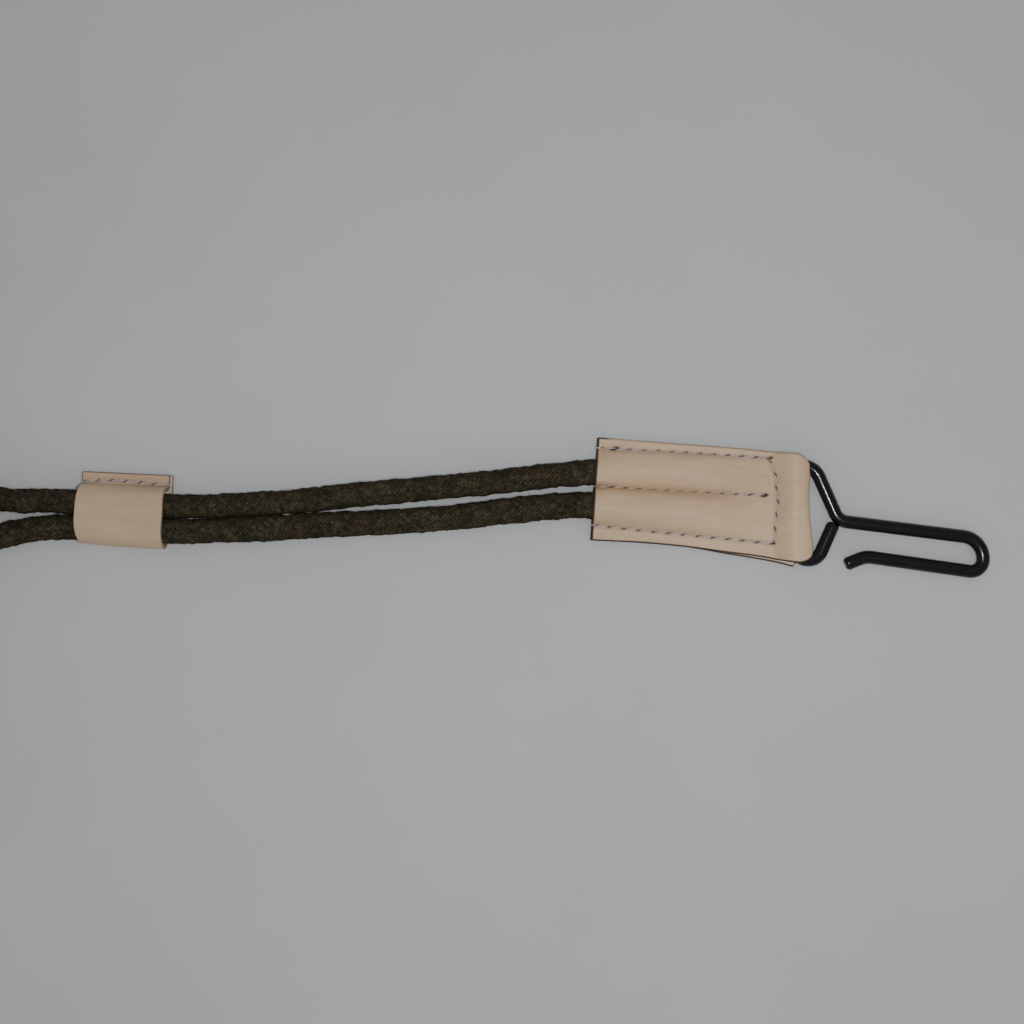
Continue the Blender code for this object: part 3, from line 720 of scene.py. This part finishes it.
def build_fibres(line, wide, high, finish):
    """Loose fibres that stand off the braid."""
    rng = np.random.default_rng(SEED + 5)
    at = rng.integers(FIBRE_FREE_RINGS, len(line) - FIBRE_FREE_RINGS, FIBRES)
    _, side, top = frames(line, (0, 0, 1))
    tangent = unit(np.gradient(line, axis=0))
    turn = rng.random(FIBRES) * 2 * pi
    c, s = np.cos(turn)[:, None], np.sin(turn)[:, None]
    normal = unit(side[at] * c + top[at] * s)
    across, over = (wide[at] - FIBRE_ROOT_MM)[:, None], (high[at] - FIBRE_ROOT_MM)[:, None]
    base = line[at] + side[at] * c * across + top[at] * s * over
    hoop = -side[at] * s + top[at] * c
    lean = rng.normal(0, 1.0, FIBRES)[:, None]
    flat = unit(tangent[at] * lean + hoop * rng.normal(0, 0.9, FIBRES)[:, None] + 1e-6)
    length = (0.5 + 1.3 * rng.random(FIBRES) ** 2)[:, None]
    curl = rng.normal(0, 0.35, (FIBRES, 1))
    rings, sides = FIBRE_RINGS, FIBRE_SIDES
    lines = np.stack([
        base + normal * (length * 0.75 * t * (1 - 0.45 * t)) + flat * (length * 0.8 * t)
        + hoop * (curl * t * t)
        for t in np.linspace(0, 1, rings)
    ], axis=1)
    lines[..., 2] = np.maximum(lines[..., 2], 0.08)
    beside = unit(np.cross(normal, flat))
    thick = np.linspace(*FIBRE_R_MM, rings)
    ring = np.arange(sides) * 2 * pi / sides
    verts = (lines[:, :, None, :]
             + (thick[:, None] * np.cos(ring))[None, :, :, None] * beside[:, None, None, :]
             + (thick[:, None] * np.sin(ring))[None, :, :, None] * normal[:, None, None, :])
    start = (np.arange(FIBRES) * rings * sides)[:, None, None]
    i = (np.arange(rings - 1) * sides)[None, :, None]
    j = np.arange(sides)[None, None, :]
    k = (j + 1) % sides
    quads = np.stack([start + i + j, start + i + k, start + i + sides + k, start + i + sides + j], axis=-1)
    first = start[:, 0, 0]
    caps = np.stack([first + 2, first + 1, first], axis=1).tolist()
    last = first + (rings - 1) * sides
    caps += np.stack([last, last + 1, last + 2], axis=1).tolist()
    return piece("cord_fuzz", verts.reshape(-1, 3), quads.reshape(-1, 4).tolist() + caps, finish)


def build_tie(finish):
    """A woven tape strip, wrapped round the waist of the hank with its end lapped over the top."""
    half_y, low, high, radius = TIE_HALF_Y_MM, TIE_LOW_MM, TIE_HIGH_MM, TIE_CORNER_MM
    corners = [(half_y - TIE_START_MM, high, 0.0), (-half_y, high, radius), (-half_y, low, radius),
               (half_y, low, radius), (half_y, high, radius),
               (-half_y + TIE_LAP_MM, high + TIE_LAP_UP_MM, 0.0)]
    path = rounded(corners, radians(6))
    line = resample(np.array([(0.0, p.x, p.y) for p in path]), TIE_STEP_MM)
    across = np.linspace(-TIE_HALF_WIDE_MM, TIE_HALF_WIDE_MM, 61)
    mid = np.repeat(line[:, None, :], len(across), axis=1)
    mid[..., 0] += HANK_MIDDLE_MM + across[None, :]
    mid[..., 1] += HANK_Y_MM
    rows = np.arange(len(line))[:, None] * TIE_STEP_MM
    rib = np.sin(2 * pi * (rows / 1.05 + np.abs(across)[None, :] / 1.2))
    relief = 0.055 * rib - 0.05 * smooth((np.abs(across)[None, :] - 4.4) / 0.5)
    # Painted shade in the hollows between the ribs.
    painted_crevice_shade = smooth((-rib - 0.2) / 0.8) * 0.85
    return shell("hank_tie_tape", mid, TIE_THICK_MM, finish, relief, {"painted_crevice_shade": painted_crevice_shade}, flip=True)


def build_cord(line):
    """The braided cord in one length, its fuzz, and the tie round its hank."""
    relief, painted_crevice_shade, tint_and_top_light = braid(line)
    wide, high = cord_section(line)
    verts, faces = sweep(line, wide, high, CORD_SIDES, (0, 0, 1), relief)
    ends = np.zeros(2)
    marks = {"painted_crevice_shade": np.concatenate([painted_crevice_shade.ravel(), ends]), "tint_and_top_light": np.concatenate([tint_and_top_light.ravel(), ends])}
    verts[:, 2] = np.maximum(verts[:, 2], TOUCH_MM)
    cord = piece("braided_cord", verts, faces, cotton_finish(), marks=marks)
    fuzz = build_fibres(line, wide, high, fibre_finish())
    tie = build_tie(tape_finish())
    for part in (cord, fuzz, tie):
        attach(part, "lanyard")
    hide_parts("cord_upper_strand", "cord_lower_strand", "cord_end_upper", "cord_end_lower",
                "cord_hank")
    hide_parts("hank_tie")


# ---------------------------------------------------------------- leather


def shell(name, mid, thick, finish, relief, marks, flip=False, edge_soft=0.3):
    """A sheet of that thickness on a grid of middle points, with softened cut edges.

    Relief raises the outer face. Marks are grids of values for the outer face, and the edge tone mark scales
    how
    dark the cut edges are: partly their own colour, partly painted shadow.
    """
    rows, cols = mid.shape[:2]
    normal = unit(np.cross(np.gradient(mid, axis=0), np.gradient(mid, axis=1)))
    if flip:
        normal = -normal
    step_i = np.linalg.norm(np.diff(mid, axis=0), axis=-1)
    step_j = np.linalg.norm(np.diff(mid, axis=1), axis=-1)
    zero_i, zero_j = np.zeros((1, cols)), np.zeros((rows, 1))
    from_first = np.vstack([zero_i, np.cumsum(step_i, axis=0)])
    from_low = np.hstack([zero_j, np.cumsum(step_j, axis=1)])
    from_last, from_high = from_first[-1:] - from_first, from_low[:, -1:] - from_low
    to_edge = np.minimum.reduce([from_first, from_last, from_low, from_high])
    near = np.clip(1 - to_edge / edge_soft, 0, 1)
    half = thick / 2 * (1 - 0.45 * near**2)
    outer = mid + normal * (half + relief * (1 - near))[..., None]
    inner = mid - normal * half[..., None]
    count = rows * cols
    i, j = np.meshgrid(np.arange(rows - 1), np.arange(cols - 1), indexing="ij")
    a, b, c, d = (i * cols + j, (i + 1) * cols + j, (i + 1) * cols + j + 1, i * cols + j + 1)
    top = np.stack([a, b, c, d], axis=-1).reshape(-1, 4)
    under = np.stack([d, c, b, a], axis=-1).reshape(-1, 4) + count
    first = np.arange(cols)
    border = np.concatenate([
        first[:-1], (np.arange(rows - 1) + 1) * cols - 1, (rows - 1) * cols + first[:0:-1],
        np.arange(rows - 1, 0, -1) * cols,
    ])
    onward = np.roll(border, -1)
    walls = np.stack([border, onward, onward + count, border + count], axis=-1)
    faces = np.vstack([top, under, walls])
    if flip:
        faces = faces[:, ::-1]
    # edge: a dark band along the cut edges, partly the raw edge's own colour and partly painted shadow.
    given = {"edge": smooth((near - 0.1) / 0.6), "flesh": np.zeros((rows, cols))}
    given.update(marks)
    given["edge"] = np.minimum(1.0, given["edge"] * given.pop("edge_and_shadow_tone", 1.0))
    values = {}
    for key, grid in given.items():
        back = given["edge"] if key == "edge" else np.full((rows, cols), 1.0 if key == "flesh" else 0.0)
        values[key] = np.concatenate([np.broadcast_to(grid, (rows, cols)).ravel(), back.ravel()])
    return piece(name, np.vstack([outer.reshape(-1, 3), inner.reshape(-1, 3)]), faces.tolist(), finish,
                 radians(42), values)


def edge_spaced(low, high, step, fine=(0.0, 0.07, 0.16, 0.3)):
    """Places from low to high, close together at both ends."""
    fine = np.array(fine)
    inner = np.linspace(low + 0.5, high - 0.5, max(2, round((high - low - 1.0) / step)))
    return np.concatenate([low + fine, inner, (high - fine)[::-1]])


def along_line(points, pitch):
    """Holes along a seam line, as near the pitch as fits."""
    line = np.array([(*p, 0.0) for p in points], float)
    return resample(line, pitch)[:, :2]


def seam_marks(x, y, rows):
    """How near each point, seen from above, is to a slanted hole, to a seam, and to the dent round a hole."""
    hole, groove, ring = (np.zeros(x.shape) for _ in range(3))
    for holes, size in rows:
        on = unit(np.gradient(np.array(holes), axis=0))
        slant = np.stack([on[:, 0] * cos(SLIT_TURN) - on[:, 1] * sin(SLIT_TURN),
                          on[:, 0] * sin(SLIT_TURN) + on[:, 1] * cos(SLIT_TURN)], axis=1)
        size = np.broadcast_to(size, len(holes))
        for (hx, hy), (sx, sy), grow in zip(holes, slant, size):
            dx, dy = x - hx, y - hy
            along, aside = dx * sx + dy * sy, -dx * sy + dy * sx
            far = (along / (SLIT_LONG_MM * grow)) ** 2 + (aside / (SLIT_WIDE_MM * grow**2)) ** 2
            hole = np.maximum(hole, np.exp(-far))
            dent = np.exp(-((along / (1.3 * grow)) ** 2) - (aside / (0.65 * grow)) ** 2)
            ring = np.maximum(ring, dent)
        for (ax, ay), (bx, by) in zip(holes, holes[1:]):
            length = hypot(bx - ax, by - ay)
            t = np.clip(((x - ax) * (bx - ax) + (y - ay) * (by - ay)) / length**2, 0, 1)
            far = np.hypot(x - ax - t * (bx - ax), y - ay - t * (by - ay))
            groove = np.maximum(groove, np.exp(-((far / 0.5) ** 2)))
    return hole, groove, ring


def plies(centre, start=0.0):
    """Two twisted plies of thread along a line."""
    _, side, top = frames(centre)
    along = np.concatenate([[0], np.cumsum(np.linalg.norm(np.diff(centre, axis=0), axis=1))]) + start
    parts = []
    for phase in (0.0, pi):
        twist = 2 * pi * along / THREAD_LAY_MM + phase
        ply = centre + PLY_OFF_MM * (np.cos(twist)[:, None] * side + np.sin(twist)[:, None] * top)
        parts.append(sweep(ply, PLY_R_MM, PLY_R_MM, PLY_SIDES))
    return parts


def stitch(a, b, level, turned=1.0):
    """One stitch from hole a to hole b, sunk a little in the face at that level."""
    a, b = np.array(a), np.array(b)
    on = (b - a) / np.linalg.norm(b - a)
    across = np.array([-on[1], on[0]])
    long = np.linalg.norm(b - a)
    t = np.linspace(0, 1, 25)
    x = STITCH_FROM_HOLE_MM + (long - 2 * STITCH_FROM_HOLE_MM) * t
    lift = np.minimum(1.0, np.minimum(x, long - x) / STITCH_LIFT_MM) ** 0.6
    aside = STITCH_SLANT_MM * (2 * t - 1)
    flat = a + on * x[:, None] + across * aside[:, None]
    face = level(flat[:, 0], flat[:, 1]) if callable(level) else level
    z = face + turned * (-STITCH_DEEP_MM + STITCH_RISE_MM * lift + STITCH_BOW_MM * np.sin(pi * t))
    return plies(np.column_stack([flat, z]), a[0])


def over_edge(hole, edge_x, top):
    """Thread from a seam's last hole round the cut edge of both layers, and under them."""
    x, y = hole
    out = -1.0 if edge_x < x else 1.0
    beyond = edge_x + 0.2 * out
    route = [(x, y, top - 0.5), (x + 0.2 * out, y, top + 0.06), (edge_x, y, top + 0.02),
             (beyond, y, top - 0.5), (beyond, y, 0.6), (edge_x, y, 0.2), (x, y, 0.22)]
    return plies(spline(route, 0.15))


def sew(name, seams, level, turned, finish, place=None, edges=()):
    """The stitches of one thread, on the face at that level; turned is -1 underneath.

    At each of edges, a hole with the x and level of the edge beside it, the thread goes round the edge.
    """
    parts = [p for holes in seams for a, b in zip(holes, holes[1:]) for p in stitch(a, b, level, turned)]
    parts += [p for edge in edges for p in over_edge(*edge)]
    verts, faces = merge(parts)
    if turned < 0:
        verts[:, 2] = np.maximum(verts[:, 2], TOUCH_MM)
    if place is not None:
        verts = verts @ place[:3, :3].T + place[:3, 3]
    return piece(name, verts, faces, finish)


def line_y(seam, x):
    """Where a straight seam crosses x."""
    (x0, y0), (x1, y1) = seam
    return y0 + (y1 - y0) * (x - x0) / (x1 - x0)


class Drape:
    """How far the tab's top layer stands up over the two cord ends, taut between the seams beside each."""

    STEP_X, STEP_Y = 0.5, 0.1

    def __init__(self, line):
        self.xs = np.arange(-30.0, 20.0, self.STEP_X)
        self.ys = np.arange(-13.0, 13.05, self.STEP_Y)
        heights = np.zeros((len(self.xs), len(self.ys)))
        wide, high = cord_section(line)
        count = round(32.0 / RING_STEP_MM)
        for part, above, below in ((slice(0, count), TOP_SEAM_MM, MIDDLE_SEAM_MM),
                                   (slice(-count, None), MIDDLE_SEAM_MM, BOTTOM_SEAM_MM)):
            path = np.column_stack([line, wide, high])[part]
            path = path[np.argsort(path[:, 0])]
            for row, x in zip(heights, self.xs):
                low, top = line_y(below, x) + SEAM_CLEAR_MM, line_y(above, x) - SEAM_CLEAR_MM
                row[:] = np.maximum(row, self.across(x, path, low, top))
        self.heights = self.softened(heights, 3.2, 0.45)

    def across(self, x, path, low, high):
        """One row: straight from each seam to the cord's outline, and along it between."""
        fade = smooth((HUMP_END_MM - x) / (HUMP_END_MM - path[-1, 0]))
        y, z, wide, tall = (np.interp(x, path[:, 0], path[:, k]) for k in (1, 2, 3, 4))
        room = LEATHER_MM / 2 + 0.3
        turn = np.linspace(0, pi, 61)
        at, up = y - (wide + room) * np.cos(turn), z + (tall + room) * np.sin(turn) - FLAT_MID_MM
        keep = (up > 0) & (at > low + 0.4) & (at < high - 0.4)
        at, up = at[keep], up[keep]
        first, last = np.argmax(up / (at - low)), np.argmax(up / (high - at))
        ys = np.array([low, *at[first:last + 1], high])
        zs = np.array([0.0, *up[first:last + 1], 0.0])
        return np.interp(self.ys, ys, zs, left=0.0, right=0.0) * fade

    def softened(self, heights, wide_x, wide_y):
        """The heights blurred by those widths in millimetres, as leather bends."""
        for axis, spread in ((0, wide_x / self.STEP_X), (1, wide_y / self.STEP_Y)):
            reach = int(3 * spread)
            kernel = np.exp(-0.5 * (np.arange(-reach, reach + 1) / spread) ** 2)
            kernel /= kernel.sum()
            pad = [(reach, reach) if k == axis else (0, 0) for k in (0, 1)]
            padded = np.pad(heights, pad, mode="edge")
            heights = np.apply_along_axis(np.convolve, axis, padded, kernel, "valid")
        return heights

    def at(self, x, y):
        """The height at places, between the grid's points."""
        u = np.clip((x - self.xs[0]) / self.STEP_X, 0, len(self.xs) - 1.001)
        v = np.clip((y - self.ys[0]) / self.STEP_Y, 0, len(self.ys) - 1.001)
        i, j = u.astype(int), v.astype(int)
        a, b, h = u - i, v - j, self.heights
        low = h[i, j] * (1 - a) + h[i + 1, j] * a
        return low * (1 - b) + (h[i, j + 1] * (1 - a) + h[i + 1, j + 1] * a) * b


def bar_x(y, skew):
    """Where the hook's base bar is along x."""
    return BAR_X_MM - tan(skew) * y


def ramp_points():
    """The top layer's way up from flat to the fold over the bar: place from the bar, and level."""
    end = (FOLD_R_MM * cos(FOLD_START), BAR_Z_MM + FOLD_R_MM * sin(FOLD_START))
    long = hypot(end[0] - RAMP_START_MM, end[1] - FLAT_MID_MM)
    t = np.linspace(0, 1, 25)
    keep, pull = (2 * t**3 - 3 * t**2 + 1, 3 * t**2 - 2 * t**3), (t**3 - 2 * t**2 + t, t**3 - t**2)
    place = keep[0] * RAMP_START_MM + keep[1] * end[0] + long * (pull[0] + pull[1] * sin(FOLD_START))
    level = keep[0] * FLAT_MID_MM + keep[1] * end[1] - long * pull[1] * cos(FOLD_START)
    return place, level


def tab_profile():
    """The folded strip from the side: layer, place along it, level, and how far round the fold it is."""
    long = BAR_X_MM + RAMP_START_MM - TAB_LEFT_MM
    points = [("top", s / long, FLAT_MID_MM, 0.0) for s in edge_spaced(0.0, long, 0.17)[:-4]]
    points += [("fold", place, level, 0.0) for place, level in list(zip(*ramp_points()))[:-1]]
    steps = 44
    for k in range(steps + 1):
        angle = FOLD_START - (FOLD_START + pi / 2) * k / steps
        level = BAR_Z_MM + FOLD_R_MM * sin(angle)
        points.append(("fold", FOLD_R_MM * cos(angle), level, max(0.0, cos(angle))))
    points += [("back", 1 - s, LEATHER_MM / 2, 0.0) for s in edge_spaced(0.0, long, 0.3)[4:] / long]
    return points


def tab_edge(points, x):
    """Where a long edge of the tab, drawn smoothly through its points, crosses x."""
    curve = spline([(*p, 0.0) for p in points], 1.0)
    return np.interp(x, curve[:, 0], curve[:, 1])


def tab_level(skew, drape):
    """The level of the tab's outer face, as a function of place."""
    place, level = ramp_points()
    return lambda x, y: np.interp(x - bar_x(y, skew), place, level) + drape.at(x, y) + LEATHER_MM / 2


def tab_sheet(profile, skew, drape):
    """The middle of the strip's thickness, as a grid: a row for each point of the profile."""
    t = edge_spaced(-TAB_HALF_MM, TAB_HALF_MM, 0.17) / TAB_HALF_MM
    mid = np.zeros((len(profile), len(t), 3))
    for i, (layer, place, level, front) in enumerate(profile):
        back = layer == "back"
        end = BAR_X_MM + (0.0 if back else RAMP_START_MM)
        row_x = BAR_X_MM + place if layer == "fold" else TAB_LEFT_MM + (end - TAB_LEFT_MM) * place
        high = tab_edge(BACK_HIGH_MM if back else TAB_HIGH_MM, row_x)
        low = tab_edge(BACK_LOW_MM if back else TAB_LOW_MM, row_x)
        clip = 1 - (1 - min(front, 1.0) ** 2) ** 0.5
        high += (FOLD_HALF_MM[0] - high) * clip
        low += (FOLD_HALF_MM[1] - low) * clip
        y = (high + low) / 2 + t * (high - low) / 2
        z = np.full(len(t), level)
        if layer == "fold":
            loose = np.interp(y, *zip(*FOLD_LOOSE_MM))
            x = bar_x(y, skew) + place + loose * smooth(place / 2.6)
        else:
            end = bar_x(y, skew) + (0.0 if back else RAMP_START_MM)
            left = TAB_LEFT_MM - TAB_END_SLOPE * y + 0.07 * value_noise(y, y * 0, 4.0, 3)
            left -= BACK_LONGER_MM if back else 0.0
            x = left + (end - left) * place
            z = z + (0.0 if back else drape.at(x, y))
        mid[i] = np.stack([x, y, z], axis=1)
    return mid


def build_tab(finish, skew, drape):
    """The strip of leather folded over the base bar, with its holes, grooves, creases, and dark edges that
    are partly painted shadow; the holes' darkness is painted shade.
    """
    profile = tab_profile()
    mid = tab_sheet(profile, skew, drape)
    x, y = mid[..., 0], mid[..., 1]
    layer = np.array([p[0] for p in profile])
    on_back = (layer == "back")[:, None]
    under = (np.arange(len(profile)) > np.flatnonzero(layer == "fold").mean())[:, None]
    seams, sizes = tab_seams()
    hole, groove, ring = seam_marks(x, y, list(zip(seams, sizes)))
    flat = np.where(on_back, 1.0, np.where(under, 0.0, smooth((-1.8 - (x - bar_x(y, skew))) / 1.5)))
    hole, groove, ring = hole * flat, groove * flat, ring * flat
    waves = 0.13 * value_noise(x, y, 7.0, 21) + 0.08 * value_noise(x, y * 2.0, 3.0, 22)
    creases = -CREASE_DEEP_MM * np.maximum(0, value_noise(x * 0.6, y * 0.16 + x * 0.1, 0.8, 23) - 0.3)
    creases = creases * smooth((x - CREASES_FROM_MM) / 4.0) * np.where(on_back, 0, 1)
    dents = HOLE_DEEP_MM * hole + np.where(on_back, UNDER_GROOVE_MM, TOP_GROOVE_MM) * groove
    pucker = PUCKER_MM * np.sin(x * 2 * pi / PITCH_MM) * groove
    relief = waves + creases - dents + RIM_HIGH_MM * ring * (1 - hole) + pucker
    greyed_round_seams = np.clip(0.55 * ring + 0.35 * groove, 0, 1) * 0.8
    # Painted shadow: the cut edges darker towards the bottom and towards the left end.
    edge_shadow_tone = 0.4 + 1.8 * smooth((-3.0 - y) / 6.0) + 0.9 * smooth((-25.0 - x) / 3.0)
    # The hole mark is painted shade inside the stitch slits.
    marks = {"hole": smooth(hole * 1.6 - 0.3), "greyed_round_seams": greyed_round_seams, "edge_and_shadow_tone": edge_shadow_tone}
    return shell("folded_tab", mid, LEATHER_MM, finish, relief, marks, edge_soft=0.6)


def tab_seams():
    """The stitch holes of the tab's four rows, and each hole's size."""
    seams = [along_line(s, PITCH_MM) for s in (TOP_SEAM_MM, MIDDLE_SEAM_MM, BOTTOM_SEAM_MM)]
    seams.append(along_line(CROSS_SEAM_MM, PITCH_MM * CROSS_PITCH))
    sizes = [np.ones(len(s)) for s in seams]
    sizes[0][1], sizes[0][-1], sizes[1][-1] = 1.7, 1.3, 1.5
    return seams, sizes


def sew_tab(finish, skew, drape):
    """The tab's two seams, a needle and a bobbin thread each; the top ones end round the left edge."""
    face = tab_level(skew, drape)
    seams, _ = tab_seams()
    edge = [seams[0], seams[3], seams[2]]
    firsts = [holes[0] for holes in seams[:3]]
    ends = [(hole, TAB_LEFT_MM - TAB_END_SLOPE * hole[1], float(face(*hole))) for hole in firsts]
    for name, rows, level, turned, node, wraps in (
        ("edge_needle_stitches", edge, face, 1.0, "tab_edge_needle_thread", (ends[0], ends[2])),
        ("edge_bobbin_stitches", edge, BOBBIN_LEVEL_MM, -1.0, "tab_edge_bobbin_thread", ()),
        ("middle_needle_stitches", [seams[1]], face, 1.0, "tab_middle_needle_thread", (ends[1],)),
        ("middle_bobbin_stitches", [seams[1]], BOBBIN_LEVEL_MM, -1.0, "tab_middle_bobbin_thread", ()),
    ):
        row = sew(name, rows, level, turned, finish, edges=wraps)
        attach(row, "lanyard")
        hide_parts(node)


def keeper_section():
    """The keeper's middle line across the cord, from the lower flange round to the upper one."""
    rise = LEATHER_MM / 2 + CORD_R_MM + KEEPER_LOOSE_MM
    side = KEEPER_HALF_MM - CORD_R_MM - KEEPER_LOOSE_MM
    points = [(KEEPER_FLANGE_MM + 0.2, LEATHER_MM / 2), (-side, LEATHER_MM / 2)]
    for k in range(1, 24):
        angle = -pi / 2 - pi * k / 24
        points.append((-side + rise * cos(angle), LEATHER_MM / 2 + rise + rise * sin(angle)))
    top = LEATHER_MM / 2 + 2 * rise
    points += [(-side, top), (-side / 2, top - 0.12), (0.0, top - 0.3), (side / 2, top - 0.2)]
    points.append((side, top - 0.15))
    for k in range(1, 12):
        angle = pi / 2 - pi / 2 * k / 12
        points.append((side + (rise - KEEPER_DROP_MM) * cos(angle), top - rise + rise * sin(angle) - 0.15))
    foot = side + rise - KEEPER_DROP_MM
    points += [(foot + 0.05, 3.4), (foot + 0.35, 2.45), (foot + 1.0, FLAT_MID_MM + 0.02)]
    points.append((KEEPER_FLANGE_MM, FLAT_MID_MM))
    return np.array([(0.0, y, z) for y, z in points])


def build_keeper(finish, thread):
    """The leather loop round both strands, sewn to itself along its flange."""
    turn = Matrix.Translation((*KEEPER_AT_MM, 0.0)) @ Matrix.Rotation(KEEPER_TURN, 4, "Z")
    place = np.array(turn)
    section = spline(keeper_section(), 0.2)
    long = np.concatenate([[0], np.cumsum(np.linalg.norm(np.diff(section, axis=0), axis=1))])
    at = edge_spaced(0.0, long[-1], 0.22)
    section = np.stack([np.interp(at, long, section[:, k]) for k in range(3)], axis=1)
    half = KEEPER_LONG_MM / 2
    across = edge_spaced(-half, half, 0.22)
    mid = np.repeat(section[:, None, :], len(across), axis=1)
    lean = -0.022 * section[:, 1] + 0.12 * value_noise(at, at * 0, 6.0, 31)
    mid[..., 0] = across[None, :] + lean[:, None] * (0.5 + 0.5 * np.abs(across[None, :]) / half)
    left = smooth(-mid[..., 0] / half)
    y = mid[..., 1]
    mid[..., 0] += 0.7 * left * (y / KEEPER_HALF_MM) ** 2 * smooth((8.8 - y) / 1.2)
    mid[..., 1] += 0.5 * left * smooth(-y / 4.0)
    mid[..., 0] += 0.5 * smooth(mid[..., 0] / half) * smooth((1.8 - mid[..., 2]) / 1.2)
    x, y = mid[..., 0], mid[..., 1]
    holes = np.stack([KEEPER_HOLES_X_MM, KEEPER_SEAM_MM + np.array(KEEPER_HOLES_OFF_MM)], axis=1)
    # The hole mark is painted shade inside the stitch slits.
    hole, groove, ring = seam_marks(x, y, [(holes, 1.0)])
    under = (at < long[-1] * 0.42)[:, None]
    waves = 0.07 * value_noise(x + 50, at[:, None] + 0 * x, 6.0, 33)
    relief = waves - 0.55 * hole - np.where(under, 0.5, 0.2) * groove
    # The cut edges' dark band is partly their own colour and partly painted shadow.
    marks = {"hole": smooth(hole * 1.5 - 0.35), "greyed_round_seams": 0.7 * ring + 0.2 * groove, "edge_and_shadow_tone": 0.7}
    mid = mid @ place[:3, :3].T + place[:3, 3]
    keeper = shell("keeper_loop", mid, LEATHER_MM, finish, relief, marks, flip=True)
    ends = [(holes[0], -half, TAB_TOP_MM), (holes[-1], half, TAB_TOP_MM)]
    top_thread = sew("keeper_needle_stitches", [holes], TAB_TOP_MM, 1.0, thread, place, ends)
    low_thread = sew("keeper_bobbin_stitches", [holes], BOBBIN_LEVEL_MM, -1.0, thread, place)
    for part, node in ((keeper, "keeper_leather"), (top_thread, "keeper_needle_thread"),
                       (low_thread, "keeper_bobbin_thread")):
        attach(part, "keeper")
        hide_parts(node)


def build_hook(finish, axis_at, skew):
    """The bent wire, lying with its bend on the table."""
    along = Vector((cos(SHANK_ANGLE), sin(SHANK_ANGLE)))
    across = Vector((sin(SHANK_ANGLE), -cos(SHANK_ANGLE)))
    apex = Vector(HOOK_PATH_MM[-1][:2])
    far = apex + along * (HOOK_REACH_MM - WIRE_R_MM - apex.x - across.x * HOOK_BEND_MM)
    leg = far + across * 2 * HOOK_BEND_MM
    path = list(HOOK_PATH_MM)
    path += [(*far, HOOK_BEND_MM + BEND_UNEVEN_MM), (*leg, HOOK_BEND_MM - BEND_UNEVEN_MM)]
    path += [(*TIP_BEND_MM, TIP_RADIUS_MM), (*TIP_END_MM, 0.0)]
    line = resample(np.array([(p.x, p.y, 0.0) for p in rounded(path)]), HOOK_STEP_MM)
    step = np.arange(len(line)) * HOOK_STEP_MM
    to_end = np.minimum(step, step[::-1])
    radius = WIRE_R_MM - CUT_ROUND_MM * np.clip(1 - to_end / CUT_ROUND_LONG_MM, 0, 1) ** 2
    dents = 0.006 * value_noise(step, step * 0, 5.0, 41)
    verts, faces = sweep(line, radius + dents, radius + dents, 48, (0, 0, 1))
    lie = asin((BAR_Z_MM - WIRE_R_MM - TOUCH_MM) / (HOOK_REACH_MM - WIRE_R_MM))
    place = Matrix.Translation(axis_at) @ Matrix.Rotation(skew, 4, "Z") @ Matrix.Rotation(lie, 4, "Y")
    place = np.array(place)
    verts = verts @ place[:3, :3].T + place[:3, 3]
    hook = piece("bent_wire_hook", verts, faces, finish, radians(40))
    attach(hook, "hook")
    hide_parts("wire_hook")


def main():
    """Everything."""
    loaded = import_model()
    swing = next(j for j in loaded["joints"] if j["name"] == "hook_swing")
    skew = atan2(swing["axis"][0], -swing["axis"][1])
    axis_at = Vector(swing["pos_m"]) / MM
    build_camera()
    line = cord_line()
    build_cord(line)
    build_stage()
    leather = leather_finish("natural_leather", (0.735, 0.525, 0.335), (0.62, 0.435, 0.27))
    # Painted shade: the keeper's leather is the tab's leather made darker, for the weaker light at the
    # keeper's end.
    keeper_leather = leather_finish("keeper_leather", (0.65, 0.46, 0.30), (0.56, 0.39, 0.25))
    thread = thread_finish()
    drape = Drape(line)
    tab = build_tab(leather, skew, drape)
    sew_tab(thread, skew, drape)
    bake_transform(tab)
    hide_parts("tab_leather")
    build_hook(lacquer_finish(), axis_at, skew)
    build_keeper(keeper_leather, thread)


main()
